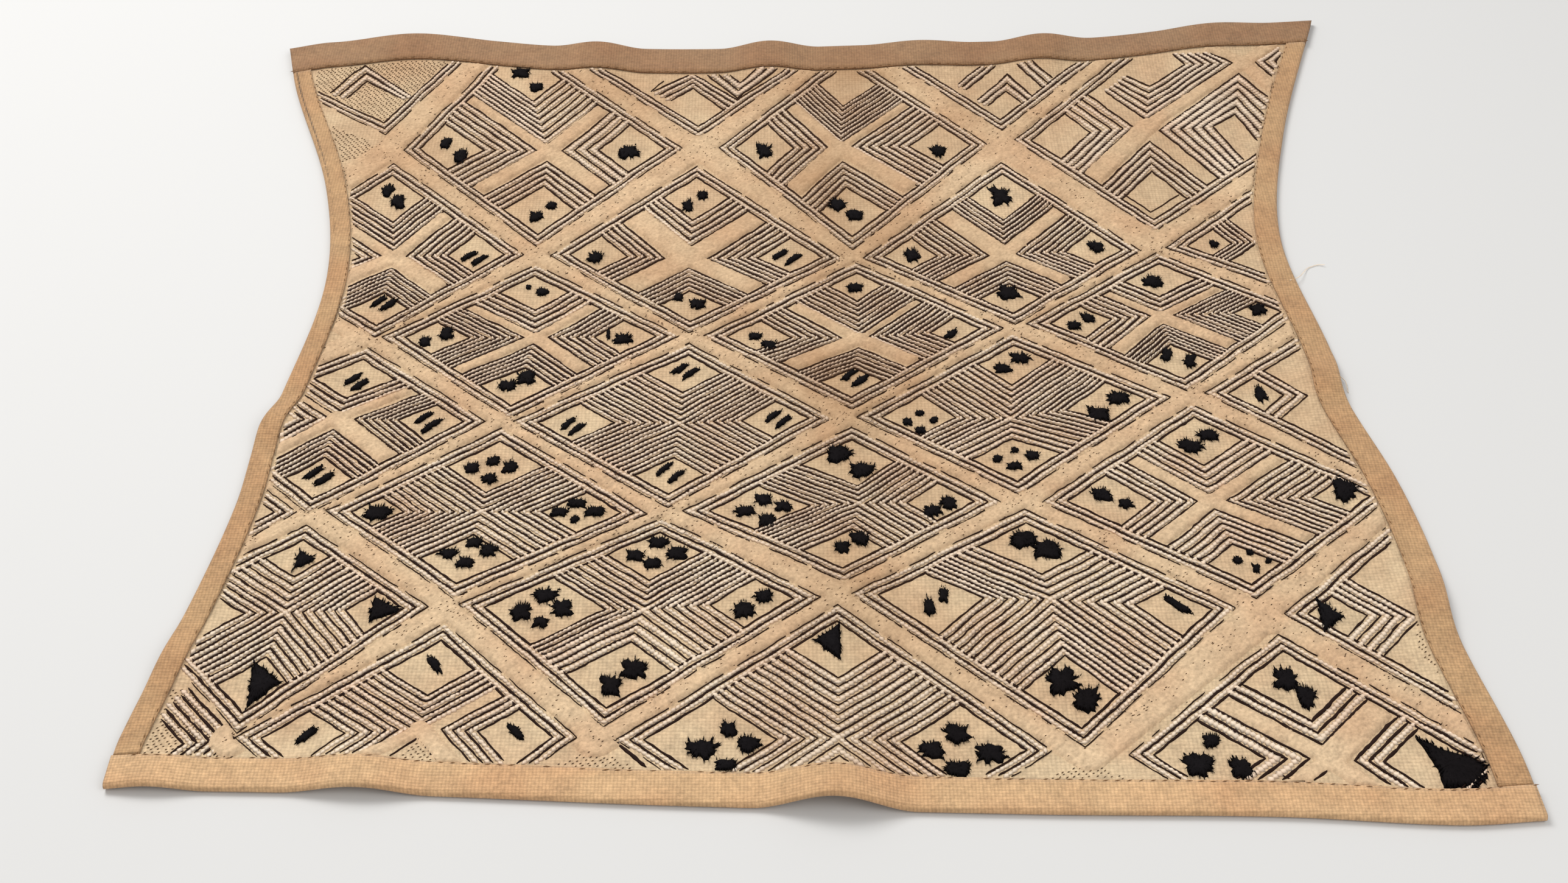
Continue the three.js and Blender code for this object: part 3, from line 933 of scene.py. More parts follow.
def ground_mesh():
    """The panel: a closed sheet on a fine grid between its rim lines."""
    rows, columns = GROUND_GRID
    v, u = np.meshgrid(np.linspace(0, 1, rows), np.linspace(0, 1, columns), indexing="ij")
    for _ in range(INSET_STEPS):
        side = PANEL_INSET / width_at(v)
        end = PANEL_INSET / length_at(u)
        u = side + (1 - 2 * side) * np.linspace(0, 1, columns)[None, :]
        v = end + (1 - 2 * end) * np.linspace(0, 1, rows)[:, None]
    x, y = plan(u, v)
    base = rise(u, v) + margin_lift(u, v)
    layers = [np.stack([x, y, base + lift], axis=-1).reshape(-1, 3) for lift in (0, PANEL_THICK)]
    count = rows * columns
    index = np.arange(count).reshape(rows, columns)
    rim = np.concatenate([index[0, :-1], index[:-1, -1], index[-1, :0:-1], index[:0:-1, 0]])
    ahead = np.roll(rim, -1)
    wall = np.stack([rim, ahead, count + ahead, count + rim], axis=-1)
    faces = [grid_faces(rows, columns, flip=True), grid_faces(rows, columns, count), wall]
    return make_mesh("ground_weave", np.concatenate(layers), faces)


def chart_places(xs, ys):
    """Where the points of a fine grid of the plan lie in the chart, by way of a coarse grid."""
    coarse_x = np.linspace(xs[0], xs[-1], COARSE_GRID[0])
    coarse_y = np.linspace(ys[0], ys[-1], COARSE_GRID[1])
    grid = np.stack(np.meshgrid(coarse_x, coarse_y), axis=-1)
    coarse = unseat(grid.reshape(-1, 2)).reshape(grid.shape)
    axes = []
    for k in (0, 1):
        rows = np.stack([np.interp(xs, coarse_x, row) for row in coarse[..., k]])
        axes.append(np.stack([np.interp(ys, coarse_y, column) for column in rows.T], axis=1))
    return np.stack(axes, axis=-1)


def distance_to(spots, lines):
    """How far the nearest of the lines is from each spot."""
    nearest = np.full(spots.shape[:-1], np.inf)
    for start, end in lines:
        run = end - start
        t = np.clip(((spots - start) @ run) / (run @ run), 0, 1)
        nearest = np.minimum(nearest, np.linalg.norm(spots - start - t[..., None] * run, axis=-1))
    return nearest


def pile_cover(spots):
    """How far in from the rim of the pile spots of the chart lie; less than 0 is bare."""
    cover = BAND_HALF - distance_to(spots, pile_bands())
    for number in OUTLINED:
        cover = np.minimum(cover, outside(spots, ring_of(number)) - BAND_START)
    for number, line, half in pile_arms():
        beside = half - distance_to(spots, [line])
        inside = -outside(spots, ring_of(number)) - ARM_START
        cover = np.maximum(cover, np.minimum(beside, inside))
    return cover


# The skin of the pile: its grid, how ragged its rim is, the width of its rounded shoulder,
# the size of its bumps, and how deep its rim sinks
PILE_STEP = 1.25
PILE_REACH = ((-322, 322), (-308, 314))
PILE_RAGGED = 0.15
PILE_SHOULDER = 1.4
PILE_BUMPS = 0.16
PILE_SINK = 0.35


def pile_mesh(pile_height):
    """The bands of cut pile, as one raised and bumpy skin whose rim sinks into the panel."""
    rng = np.random.default_rng(SEEDS["pile"])
    xs, ys = [np.arange(low, high, PILE_STEP) for low, high in PILE_REACH]
    grid_x, grid_y = np.meshgrid(xs, ys)
    cover = pile_cover(chart_places(xs, ys))
    cover += rng.normal(0, PILE_RAGGED, cover.shape)
    room = room_inside(grid_x, grid_y)
    cover = np.minimum(cover, room - EDGE_ROOM)
    shoulder = np.clip(cover / PILE_SHOULDER, 0, 1)
    bumps = rng.normal(0, PILE_BUMPS, cover.shape) * shoulder
    lift = (1 - (1 - shoulder) ** 2) * pile_height + bumps - PILE_SINK * (1 - shoulder)
    kept = cover > 0
    quads = kept[:-1, :-1] | kept[1:, :-1] | kept[:-1, 1:] | kept[1:, 1:]
    quads &= np.minimum(room[:-1, :-1], room[1:, 1:]) > 0
    faces = grid_faces(*cover.shape)[quads.ravel()]
    used, faces = np.unique(faces, return_inverse=True)
    points = drape(grid_x.ravel()[used], grid_y.ravel()[used], lift.ravel()[used])
    tone = tones(rng, PILE_TONE, len(used), 1)
    return make_mesh("cut_pile_bands", points, [faces.reshape(-1, 4)], tone)


# How many steps long the stretches and the gaps of a worn line are, from and up to
WORN_STRETCHES = (3, 16)
WORN_GAPS = (0, 4)


def broken(line, width, rng):
    """The stretches left of a thin line that has worn through in places."""
    stretches = []
    start = 0
    while start < len(line) - 1:
        length = int(rng.integers(*WORN_STRETCHES))
        stretches.append((line[start : start + length], width))
        start += length + int(rng.integers(*WORN_GAPS))
    return stretches


# The ridge of a dark line: its step, how far from the strips it stays, the height of its
# sides and crest, how slim its ends are, and how uneven its width, course and crest are
DARK_STEP = 2.6
DARK_ROOM = 1.0
RIDGE_LIFTS = (-0.25, 0.75, -0.25)
RIDGE_TAPER = 0.4
RIDGE_UNEVEN = 0.17
RIDGE_SWAY = 0.1


def ridge(line, width, rng):
    """Points of a slim ridge along a line: left, crest and right at each step."""
    count = len(line)
    _, side = sideways(line)
    half = (width / 2 * (1 + rng.normal(0, RIDGE_UNEVEN, count)))[:, None]
    half[[0, -1]] *= RIDGE_TAPER
    crest = line + rng.normal(0, RIDGE_SWAY, count)[:, None] * side
    rows = np.stack([crest - side * half, crest, crest + side * half], axis=1).reshape(-1, 2)
    lift = np.tile(RIDGE_LIFTS, (count, 1))
    lift[:, 1] += rng.normal(0, RIDGE_SWAY, count)
    return drape(rows[:, 0], rows[:, 1], lift.ravel())


def dark_line_mesh(boldness):
    """The dark stem stitch, as slim ridges with an uneven edge."""
    rng = np.random.default_rng(SEEDS["dark"])
    runs = []
    for path, width in dark_paths():
        for line in runs_inside(seat(hand_line(path, DARK_STEP, rng)), DARK_ROOM):
            runs += broken(line, width, rng) if width < BROKEN_UNDER else [(line, width)]
    points, quads, caps, shades = [], [], [], []
    start = 0
    for line, width in runs:
        count = len(line)
        if count < 2:
            continue
        points.append(ridge(line, boldness * width, rng))
        k = start + 3 * np.arange(count - 1)[:, None]
        for a, b in ((0, 1), (1, 2), (2, 0)):
            quads.append(np.concatenate([k + a, k + a + 3, k + b + 3, k + b], axis=1))
        end = start + 3 * (count - 1)
        caps += [(start, start + 1, start + 2), (end, end + 2, end + 1)]
        shades.append(tones(rng, USUAL_TONE, count, 3))
        start += 3 * count
    faces = [np.concatenate(quads), np.array(caps)]
    return make_mesh("dark_stem_stitch", np.concatenate(points), faces, np.concatenate(shades))


# A stitch as a slim eight-sided lozenge: two tips, two sides, a crown and a foot, and how
# high the tips, the sides and the foot lie
StitchSize = namedtuple("StitchSize", "length width height")
STITCH_FACES = [
    (0, 2, 4), (2, 1, 4), (1, 3, 4), (3, 0, 4),
    (2, 0, 5), (1, 2, 5), (3, 1, 5), (0, 3, 5),
]
STITCH_LIFTS = (0.05, 0.05, 0.15, 0.15)
STITCH_FOOT = -0.3

# How uneven the stitches are: their turn in radians, and shares of their length or height
# and of their width
UNEVEN_TURN = 0.1
UNEVEN_LENGTH = 0.12
UNEVEN_WIDTH = 0.1


def stitches(line, size, turn, rng):
    """Lozenges that lie on the face along a line, each turned a little across it."""
    middles, (ahead, side) = line
    count = len(middles)
    angle = math.radians(turn) + rng.normal(0, UNEVEN_TURN, count)
    along = ahead * np.cos(angle)[:, None] + side * np.sin(angle)[:, None]
    across = np.stack([-along[:, 1], along[:, 0]], axis=-1)
    long = along * (size.length / 2 * (1 + rng.normal(0, UNEVEN_LENGTH, count)))[:, None]
    wide = across * (size.width / 2 * (1 + rng.normal(0, UNEVEN_WIDTH, count)))[:, None]
    spots = [middles - long, middles + long, middles - wide, middles + wide, middles, middles]
    flat = np.stack(spots, axis=1).reshape(-1, 2)
    lift = np.tile([*STITCH_LIFTS, size.height, STITCH_FOOT], (count, 1))
    lift[:, 4] *= 1 + rng.normal(0, UNEVEN_LENGTH, count)
    return drape(flat[:, 0], flat[:, 1], lift.ravel()).reshape(count, len(spots), 3)


def stitch_mesh(name, shapes, tone=None):
    """A piece made of stitches, with a tone for each point if there is one."""
    points, faces = stamp(shapes, STITCH_FACES)
    return make_mesh(name, points, [faces], tone)


# The stitches of a cord: the step between them, their length and height, how far from the
# strips they stay, and their slant in degrees
CORD_STEP = 2.5
CORD_STITCH = (4.8, 1.2)
CORD_ROOM = 1.2
CORD_SLANT = 11


def cord_mesh(fullness):
    """The pale cords, as slanted stitches that lie over each other."""
    rng = np.random.default_rng(SEEDS["cord"])
    shapes = []
    length, height = CORD_STITCH
    for path, width in cord_paths():
        size = StitchSize(length, fullness * width, height)
        for line in runs_inside(seat(hand_line(path, CORD_STEP, rng)), CORD_ROOM):
            shapes.append(stitches((line, sideways(line)), size, CORD_SLANT, rng))
    shapes = np.concatenate(shapes)
    return stitch_mesh("pale_cords", shapes, tones(rng, USUAL_TONE, len(shapes), 6))


# The tiny stitches: the slant of their rows in degrees, their size, how far inside their
# patch they stay; the number of flecks on a band of pile and how widely they are strewn; and
# how high the two kinds lie; and how unsteady the rows are
STIPPLE_SLANT = 38
STIPPLE_SIZE = StitchSize(1.5, 0.55, 0.45)
STIPPLE_ROOM = 0.8
FLECK_COUNT = 70
FLECK_SPREAD = 3.6
STIPPLE_LIFTS = (0.1, 1.35)
STIPPLE_SWAY = 0.2


def stipple_mesh():
    """Rows of tiny brown stitches on plain ground, and stray flecks on the pile."""
    rng = np.random.default_rng(SEEDS["stipple"])
    turn = math.radians(STIPPLE_SLANT)
    ahead = np.array([math.cos(turn), math.sin(turn)])
    side = np.array([-ahead[1], ahead[0]])
    spots = []
    for corners in STIPPLED:
        ring = np.array(corners, float)
        reach = np.ptp(ring, axis=0).max()
        rows, steps = np.meshgrid(
            np.arange(-reach, reach, STIPPLE_ROW), np.arange(-reach, reach, STIPPLE_STEP)
        )
        places = ring.mean(axis=0) + steps.ravel()[:, None] * ahead + rows.ravel()[:, None] * side
        places += rng.normal(0, STIPPLE_SWAY, places.shape)
        spots.append(places[outside(places, ring) < -STIPPLE_ROOM])
    flecks = []
    for start, end in pile_bands():
        share = rng.uniform(0, 1, (FLECK_COUNT, 1))
        flecks.append(mix(start, end, share) + rng.normal(0, FLECK_SPREAD, (FLECK_COUNT, 2)))
    counts = [len(np.concatenate(kind)) for kind in (spots, flecks)]
    middles = seat(np.concatenate(spots + flecks))
    kept = room_inside(middles[:, 0], middles[:, 1]) > CORD_ROOM
    middles = middles[kept]
    directions = [np.tile(direction, (len(middles), 1)) for direction in (ahead, side)]
    shapes = stitches((middles, directions), STIPPLE_SIZE, 0, rng)
    shapes[..., 2] += np.repeat(STIPPLE_LIFTS, counts)[kept][:, None]
    return stitch_mesh("stippled_stitches", shapes, tones(rng, STIPPLE_TONE, len(shapes), 6))


# A tuft's rim: its points, how square it is, the share of its size that it is cut back to,
# how ragged it is from point to point, and how uneven over stretches of some points
TUFT_POINTS = 24
TUFT_SQUARE = 3.4
TUFT_CUT = 0.76
TUFT_RAGGED = 0.13
TUFT_UNEVEN = 0.09
TUFT_STRETCH = 5


def tuft_outline(tuft, rng):
    """The ragged rim of a tuft in the chart."""
    angle = np.linspace(0, 2 * math.pi, TUFT_POINTS, endpoint=False)
    corners = np.abs(np.cos(angle)) ** TUFT_SQUARE + np.abs(np.sin(angle)) ** TUFT_SQUARE
    ragged = TUFT_CUT + rng.normal(0, TUFT_RAGGED, TUFT_POINTS)
    ragged += wobble(TUFT_POINTS, TUFT_STRETCH, TUFT_UNEVEN, rng)
    reach = corners ** (-1 / TUFT_SQUARE) * ragged
    x = np.cos(angle) * reach * tuft.width / 2
    y = np.sin(angle) * reach * tuft.height / 2
    lean = math.radians(-tuft.lean)
    turned_x = x * math.cos(lean) - y * math.sin(lean)
    turned_y = x * math.sin(lean) + y * math.cos(lean)
    return np.stack([tuft.x + turned_x, tuft.y + turned_y], axis=-1)


HALF_FIGURE_STEP = 2.2
HALF_FIGURE_RAGGED = 0.35


def half_figure_outline(corners, rng):
    """The ragged rim of a figure that fills half a corner."""
    ring = np.array([*corners, corners[0]], float)
    points = resample(ring, HALF_FIGURE_STEP)[:-1]
    return points + rng.normal(0, HALF_FIGURE_RAGGED, points.shape)


# A pad's shoulder as a share of its rim, its crown as a share of its height, and its foot
PAD_SHOULDER = 0.72
PAD_CROWN = 1.1
PAD_FOOT = -0.3


def pad_shape(rim, height, start):
    """A low closed pad inside a rim: its rim, a shoulder ring, its crown and its foot."""
    middle = rim.mean(axis=0)
    shoulder = middle + (rim - middle) * PAD_SHOULDER
    ring = np.concatenate([rim, shoulder, middle[None], middle[None]])
    count = len(rim)
    lift = np.concatenate(
        [np.zeros(count), np.full(count, height), [height * PAD_CROWN], [PAD_FOOT]]
    )
    points = drape(ring[:, 0], ring[:, 1], lift)
    here = start + np.arange(count)
    ahead = np.roll(here, -1)
    quads = np.stack([here, ahead, ahead + count, here + count], axis=-1)
    crown = np.full(count, start + 2 * count)
    foot = crown + 1
    top = np.stack([here + count, ahead + count, crown], axis=-1)
    under = np.stack([ahead, here, foot], axis=-1)
    return points, quads, np.concatenate([top, under])


# A blade of raffia: three corners at its foot and a tip
BLADE_FACES = [(0, 1, 3), (1, 2, 3), (2, 0, 3), (0, 2, 1)]

# How many blades a figure has: at least, and for each square millimetre; the shares of their
# way out from the middle that count across and up the cloth, with a push up or down; how
# unsteady their direction is; the least and most of their length, half width and height at
# the foot, how far a tip may rise and how far it sinks at the rim; the share of their length
# that they have in the middle; and the width of a figure whose blades have their full length
LEAST_BLADES = 26
BLADES_PER_AREA = 0.6
BLADE_LEAN = [0.25, 1.0]
BLADE_PUSH = 0.8
BLADE_UNSTEADY = 0.7
BLADE_LENGTHS = (1.2, 2.9)
BLADE_HALVES = (0.18, 0.4)
BLADE_RESTS = (0.3, 0.9)
BLADE_RISE = 1.3
BLADE_SINK = 0.6
SHORT_BLADE = 0.45
FULL_BLADE_WIDTH = 9

# A figure's width as a multiple of the spread of its rim's points
SPREAD_WIDTH = 3.2


def narrowest(rim):
    """The width of a figure across its longer way."""
    spread = np.cov((rim - rim.mean(axis=0)).T)
    return SPREAD_WIDTH * math.sqrt(max(np.linalg.eigvalsh(spread)[0], 0))


def blades(rim, rng):
    """Cut ends of raffia that stand all over a pad, and out of its rim up and down the cloth."""
    middle = rim.mean(axis=0)
    size = np.ptp(rim, axis=0)
    count = int(LEAST_BLADES + BLADES_PER_AREA * size[0] * size[1])
    pick = rng.integers(0, len(rim), count)
    share = np.sqrt(rng.uniform(0.02, 1.0, count))[:, None]
    roots = middle + (rim[pick] - middle) * share
    out = (rim[pick] - middle) * BLADE_LEAN
    out[:, 1] += np.sign(out[:, 1]) * BLADE_PUSH
    out += rng.normal(0, BLADE_UNSTEADY, out.shape)
    out /= np.linalg.norm(out, axis=1)[:, None]
    across = np.stack([-out[:, 1], out[:, 0]], axis=-1)
    slim = min(narrowest(rim) / FULL_BLADE_WIDTH, 1)
    long = rng.uniform(*BLADE_LENGTHS, count)[:, None] * mix(SHORT_BLADE, 1, share) * slim
    half = rng.uniform(*BLADE_HALVES, count)[:, None]
    spots = np.stack([roots - across * half, roots + across * half, roots, roots + out * long], 1)
    rest = rng.uniform(*BLADE_RESTS, count)
    lift = np.stack([rest, rest, rest + 1.0, rest + rng.uniform(0, BLADE_RISE, count)], axis=1)
    lift[:, 3] -= BLADE_SINK * share[:, 0]
    flat = spots.reshape(-1, 2)
    return drape(flat[:, 0], flat[:, 1], lift.ravel()).reshape(count, 4, 3)


def tuft_mesh(height):
    """The dark figures: pads of cut raffia with ragged blades round them."""
    rng = np.random.default_rng(SEEDS["tuft"])
    rims = [tuft_outline(tuft, rng) for row in FIGURES.values() for tuft in row]
    rims += [half_figure_outline(corners, rng) for corners in HALF_FIGURES.values()]
    points, quads, thirds, shades = [], [], [], []
    start = 0
    for rim in rims:
        rim = seat(waver(rim))
        room = room_inside(rim[:, 0], rim[:, 1])
        if np.median(room) < 1:
            continue
        rim = rim[room > EDGE_ROOM]
        pad, pad_quads, pad_thirds = pad_shape(rim, height, start)
        spikes, faces = stamp(blades(rim, rng), BLADE_FACES)
        points += [pad, spikes]
        quads.append(pad_quads)
        thirds += [pad_thirds, faces + start + len(pad)]
        start += len(pad) + len(spikes)
        shades.append(tones(rng, PAD_TONE, len(pad), 1))
        shades.append(tones(rng, BLADE_TONE, len(spikes) // 4, 4))
    faces = [np.concatenate(quads), np.concatenate(thirds)]
    return make_mesh("dark_tufts", np.concatenate(points), faces, np.concatenate(shades))


# The strips that run the full width, the rough lengths that their stations are counted
# from, the step between two stations, and their puckers: size, stations, least and most
LONG_STRIPS = ("near", "far")
LONG_STRIP = 630
SIDE_STRIP = 560
STRIP_STEP = 2.2
PUCKER_SIZE = 0.12
PUCKER_REACH = 5
PUCKER_ENDS = (-0.2, 0.3)

# Across a strip: the share of its width at the last flat point before the bend, and the
# numbers of points on each flat side and round the bend
BEND_SHARE = 0.2
FLAT_POINTS = 6
BEND_POINTS = 9


def strip_section():
    """Pairs of outer and inner points round a strip: share of the width, depth, height."""
    half = STRIP_STACK / 2
    inner_half = half - STRIP_THICK
    lining = max(PANEL_INSET - EDGE_GAP, STRIP_THICK)
    rows = []
    for share in np.linspace(1, BEND_SHARE, FLAT_POINTS):
        rows.append(((share, 0, 0), (share, 0, STRIP_THICK)))
    for angle in np.radians(np.linspace(-90, 90, BEND_POINTS)):
        back = 1 - math.cos(angle)
        inner_depth = min(STRIP_THICK + (FOLD_RADIUS - STRIP_THICK) * back, lining)
        outer = (0, FOLD_RADIUS * back, half + half * math.sin(angle))
        rows.append((outer, (0, inner_depth, half + inner_half * math.sin(angle))))
    for share in np.linspace(BEND_SHARE, 1, FLAT_POINTS):
        rows.append(((share, 0, STRIP_STACK), (share, 0, STRIP_STACK - STRIP_THICK)))
    return rows


def strip_stations(edge, step):
    """Places along a strip: the side strips end against the near and the far strip."""
    if edge in LONG_STRIPS:
        return np.linspace(0, 1, int(LONG_STRIP / step))
    side = 0 if edge == "left" else 1
    first = (strip_width("near", side) + EDGE_GAP) / length_at(side)
    final = 1 - (strip_width("far", side) + EDGE_GAP) / length_at(side)
    return np.linspace(first, final, int(SIDE_STRIP / step))


def strip_points(edge, along, depth, height):
    """Points of a strip by the place along it, the depth from its fold and the height."""
    if edge in LONG_STRIPS:
        v = depth / length_at(along)
        v = 1 - v if edge == "far" else v
        u = along
    else:
        u = depth / width_at(along)
        u = 1 - u if edge == "right" else u
        v = along
    x, y = plan(u, v)
    return np.stack([x, y, rise(u, v) + height], axis=-1)


def strip_mesh(edge):
    """A strip folded round the panel's edge, as one closed skin with soft puckers."""
    along = strip_stations(edge, STRIP_STEP)
    rng = np.random.default_rng(SEEDS["strip"] + len(edge))
    section = strip_section()
    ring = [pair[0] for pair in section] + [pair[1] for pair in reversed(section)]
    count = len(along)
    size = len(ring)
    pucker = np.clip(wobble(count, PUCKER_REACH, PUCKER_SIZE, rng), *PUCKER_ENDS)
    width = strip_width(edge, along)
    rows = []
    for k, (share, depth, height) in enumerate(ring):
        reach = share * width if share else np.full(count, float(depth))
        lift = np.full(count, float(height))
        if k < len(section) and height == STRIP_STACK:
            lift = lift + pucker * math.sin(math.pi * min(share, 1))
        rows.append(strip_points(edge, along, reach, lift))
    points = np.stack(rows, axis=1)
    index = np.arange(count * size).reshape(count, size)
    ahead = np.roll(index, -1, axis=1)
    faces = [np.stack([index[:-1], index[1:], ahead[1:], ahead[:-1]], axis=-1).reshape(-1, 4)]
    for row, turned in ((index[0], False), (index[-1], True)):
        outer = row[: len(section)]
        inner = row[::-1][: len(section)]
        cap = np.stack([outer[:-1], outer[1:], inner[1:], inner[:-1]], axis=-1)
        faces.append(cap[:, ::-1] if turned else cap)
    if edge in ("far", "left"):
        faces = [group[:, ::-1] for group in faces]
    return make_mesh(f"{edge}_edge_strip", points.reshape(-1, 3), faces)


# A seam's stitches: the step between them, their size and slant, how far they lie over the
# strip and how unsteadily, and the share of them that can be seen
SEAM_STEP = 5.2
SEAM_STITCH = StitchSize(3.0, 0.55, 0.5)
SEAM_SLANT = 9
SEAM_INSET = 0.4
SEAM_SWAY = 0.3
SEAM_REACH = 3
SEAM_SHARE = 0.7


def sewing_and_edge_shadow_mesh():
    """The brown running stitches that hold the strips down along their inner edges, drawn also as a painted
    shadow along those edges.
    """
    rng = np.random.default_rng(SEEDS["seam"])
    shapes = []
    for edge in STRIP_WIDTHS:
        along = strip_stations(edge, SEAM_STEP)
        inset = strip_width(edge, along) - SEAM_INSET
        inset = inset + wobble(len(along), SEAM_REACH, SEAM_SWAY, rng)
        line = strip_points(edge, along, inset, 0)[:, :2]
        spots = stitches((line, sideways(line)), SEAM_STITCH, SEAM_SLANT, rng)
        spots = spots[rng.uniform(0, 1, len(spots)) < SEAM_SHARE]
        spots[..., 2] += STRIP_STACK - MARGIN_LIFT - PANEL_THICK
        shapes.append(spots)
    return stitch_mesh("seam_stitches", np.concatenate(shapes))


# Fibres that have come loose from the right edge: points as (x, y, height)
LOOSE_FIBRES = [
    [(264, 51, 4.6), (271, 57, 2.4), (277, 67, 0.5), (283, 70, 0.5), (287, 69, 1.2)],
    [(274, -25, 4.6), (280, -29, 1.6), (280, -37, 0.4)],
]
FIBRE_RADIUS = 0.22
FIBRE_SIDES = 5
FIBRE_STEPS = 8
FIBRE_ROUNDINGS = 6


def fibre_path(knots):
    """A smooth line through about the places of a fibre's points."""
    places = np.linspace(0, len(knots) - 1, FIBRE_STEPS * len(knots))
    path = np.stack([np.interp(places, np.arange(len(knots)), axis) for axis in knots.T], -1)
    for _ in range(FIBRE_ROUNDINGS):
        path[1:-1] = (path[:-2] + 2 * path[1:-1] + path[2:]) / 4
    return path


def fibre_mesh():
    """Loose raffia fibres, as thin closed tubes."""
    angle = np.linspace(0, 2 * math.pi, FIBRE_SIDES, endpoint=False)[None, :, None]
    points, quads, caps = [], [], []
    start = 0
    for knots in LOOSE_FIBRES:
        path = fibre_path(np.array(knots, float))
        ahead = np.gradient(path, axis=0)
        ahead /= np.linalg.norm(ahead, axis=1)[:, None]
        side = np.cross([0, 0, 1], ahead)
        side /= np.linalg.norm(side, axis=1)[:, None]
        up = np.cross(ahead, side)
        away = np.cos(angle) * side[:, None] + np.sin(angle) * up[:, None]
        points.append((path[:, None] + FIBRE_RADIUS * away).reshape(-1, 3))
        index = start + np.arange(len(path) * FIBRE_SIDES).reshape(-1, FIBRE_SIDES)
        turned = np.roll(index, -1, axis=1)
        quads.append(np.stack([index[:-1], turned[:-1], turned[1:], index[1:]], -1).reshape(-1, 4))
        caps += [index[0, ::-1], index[-1]]
        start += index.size
    faces = [np.concatenate(quads), np.array(caps)]
    return make_mesh("loose_fibres", np.concatenate(points), faces)


# Materials


def paint(code):
    """A colour given as in a paint book, as the linear values that a shader takes."""
    parts = [int(code[k : k + 2], 16) / 255 for k in (1, 3, 5)]
    return tuple(c / 12.92 if c <= 0.04045 else ((c + 0.055) / 1.055) ** 2.4 for c in parts)


def shade(colour, share):
    """A colour made darker, or lighter by a share over 1."""
    return tuple(min(share * c, 1) for c in colour)


def feed(tree, socket, value):
    """Link an input to another node's output, or set its value."""
    if isinstance(value, bpy.types.NodeSocket):
        tree.links.new(value, socket)
    else:
        socket.default_value = value


def add_node(tree, kind, inputs=None, **settings):
    node = tree.nodes.new(kind)
    for name, value in settings.items():
        setattr(node, name, value)
    for name, value in (inputs or {}).items():
        feed(tree, node.inputs[name], value)
    return node


def math_node(tree, operation, *values, clamp=False):
    node = add_node(tree, "ShaderNodeMath", operation=operation, use_clamp=clamp)
    for socket, value in zip(node.inputs, values):
        feed(tree, socket, value)
    return node.outputs[0]


def mix_value(tree, factor, first, second):
    node = add_node(tree, "ShaderNodeMix", data_type="FLOAT")
    for index, value in ((0, factor), (2, first), (3, second)):
        feed(tree, node.inputs[index], value)
    return node.outputs[0]


def mix_colour(tree, factor, first, second, blend="MIX"):
    node = add_node(tree, "ShaderNodeMix", data_type="RGBA", blend_type=blend)
    feed(tree, node.inputs[0], factor)
    for index, colour in ((6, first), (7, second)):
        linked = isinstance(colour, bpy.types.NodeSocket)
        feed(tree, node.inputs[index], colour if linked else (*colour, 1))
    return node.outputs[2]


def noise(tree, place, scale, detail, roughness=0.5):
    inputs = {"Vector": place, "Scale": scale, "Detail": detail, "Roughness": roughness}
    return add_node(tree, "ShaderNodeTexNoise", inputs).outputs["Fac"]


def map_range(tree, value, low, high, to_low=0.0, to_high=1.0):
    """A value stretched from one range to another, and kept inside that."""
    ends = {"From Min": low, "From Max": high, "To Min": to_low, "To Max": to_high}
    return add_node(tree, "ShaderNodeMapRange", {"Value": value, **ends}, clamp=True).outputs[0]


def new_group(name, values, results):
    """A shader group that takes a place and some values, and puts out some results."""
    tree = bpy.data.node_groups.new(name, "ShaderNodeTree")
    tree.interface.new_socket("Place", in_out="INPUT", socket_type="NodeSocketVector")
    for title, value in values.items():
        socket = tree.interface.new_socket(title, in_out="INPUT", socket_type="NodeSocketFloat")
        socket.default_value = value
    for title in results:
        tree.interface.new_socket(title, in_out="OUTPUT", socket_type="NodeSocketFloat")
    start = tree.nodes.new("NodeGroupInput")
    end = tree.nodes.new("NodeGroupOutput")
    return tree, start.outputs, end.inputs


def plain_weave_group():
    """Threads over and under each other, with their height, and a tone that is half their height, as
    painted shade in the hollows between threads, and half a speckle.
    """
    values = {"Threads Per Metre": 700.0, "Unevenness": 0.4}
    tree, given, out = new_group("Plain weave", values, ["Height", "Tone"])
    drift = noise(tree, given["Place"], scale=90.0, detail=2.0)
    slack = math_node(tree, "MULTIPLY", drift, given["Unevenness"])
    axes = add_node(tree, "ShaderNodeSeparateXYZ", {"Vector": given["Place"]})
    turn = math_node(tree, "MULTIPLY", given["Threads Per Metre"], math.pi)
    waves = []
    for axis in ("X", "Y"):
        angle = math_node(tree, "MULTIPLY", axes.outputs[axis], turn)
        waves.append(math_node(tree, "SINE", math_node(tree, "ADD", angle, slack)))
    warp, weft = [math_node(tree, "ABSOLUTE", wave) for wave in waves]
    over = math_node(tree, "MULTIPLY_ADD", math_node(tree, "MULTIPLY", *waves), 0.5, 0.5)
    height = mix_value(tree, over, weft, warp)
    tree.links.new(height, out["Height"])
    # Painted shade: the tone follows the threads' height, darker in the hollows between them
    speck = noise(tree, given["Place"], scale=600.0, detail=3.0)
    tree.links.new(mix_value(tree, 0.5, height, speck), out["Tone"])
    return tree


def fibre_group():
    """Fine loose fibre: a speckle, and the height that goes with it."""
    values = {"Scale": 500.0, "Contrast": 1.0}
    tree, given, out = new_group("Fibre speckle", values, ["Tone", "Height"])
    fine = noise(tree, given["Place"], given["Scale"], detail=4.0, roughness=0.65)
    wider = math_node(tree, "MULTIPLY", given["Scale"], 0.22)
    coarse = noise(tree, given["Place"], wider, detail=2.0)
    away = math_node(tree, "SUBTRACT", mix_value(tree, 0.3, fine, coarse), 0.5)
    tone = math_node(tree, "MULTIPLY_ADD", away, given["Contrast"], 0.5, clamp=True)
    tree.links.new(tone, out["Tone"])
    tree.links.new(fine, out["Height"])
    return tree


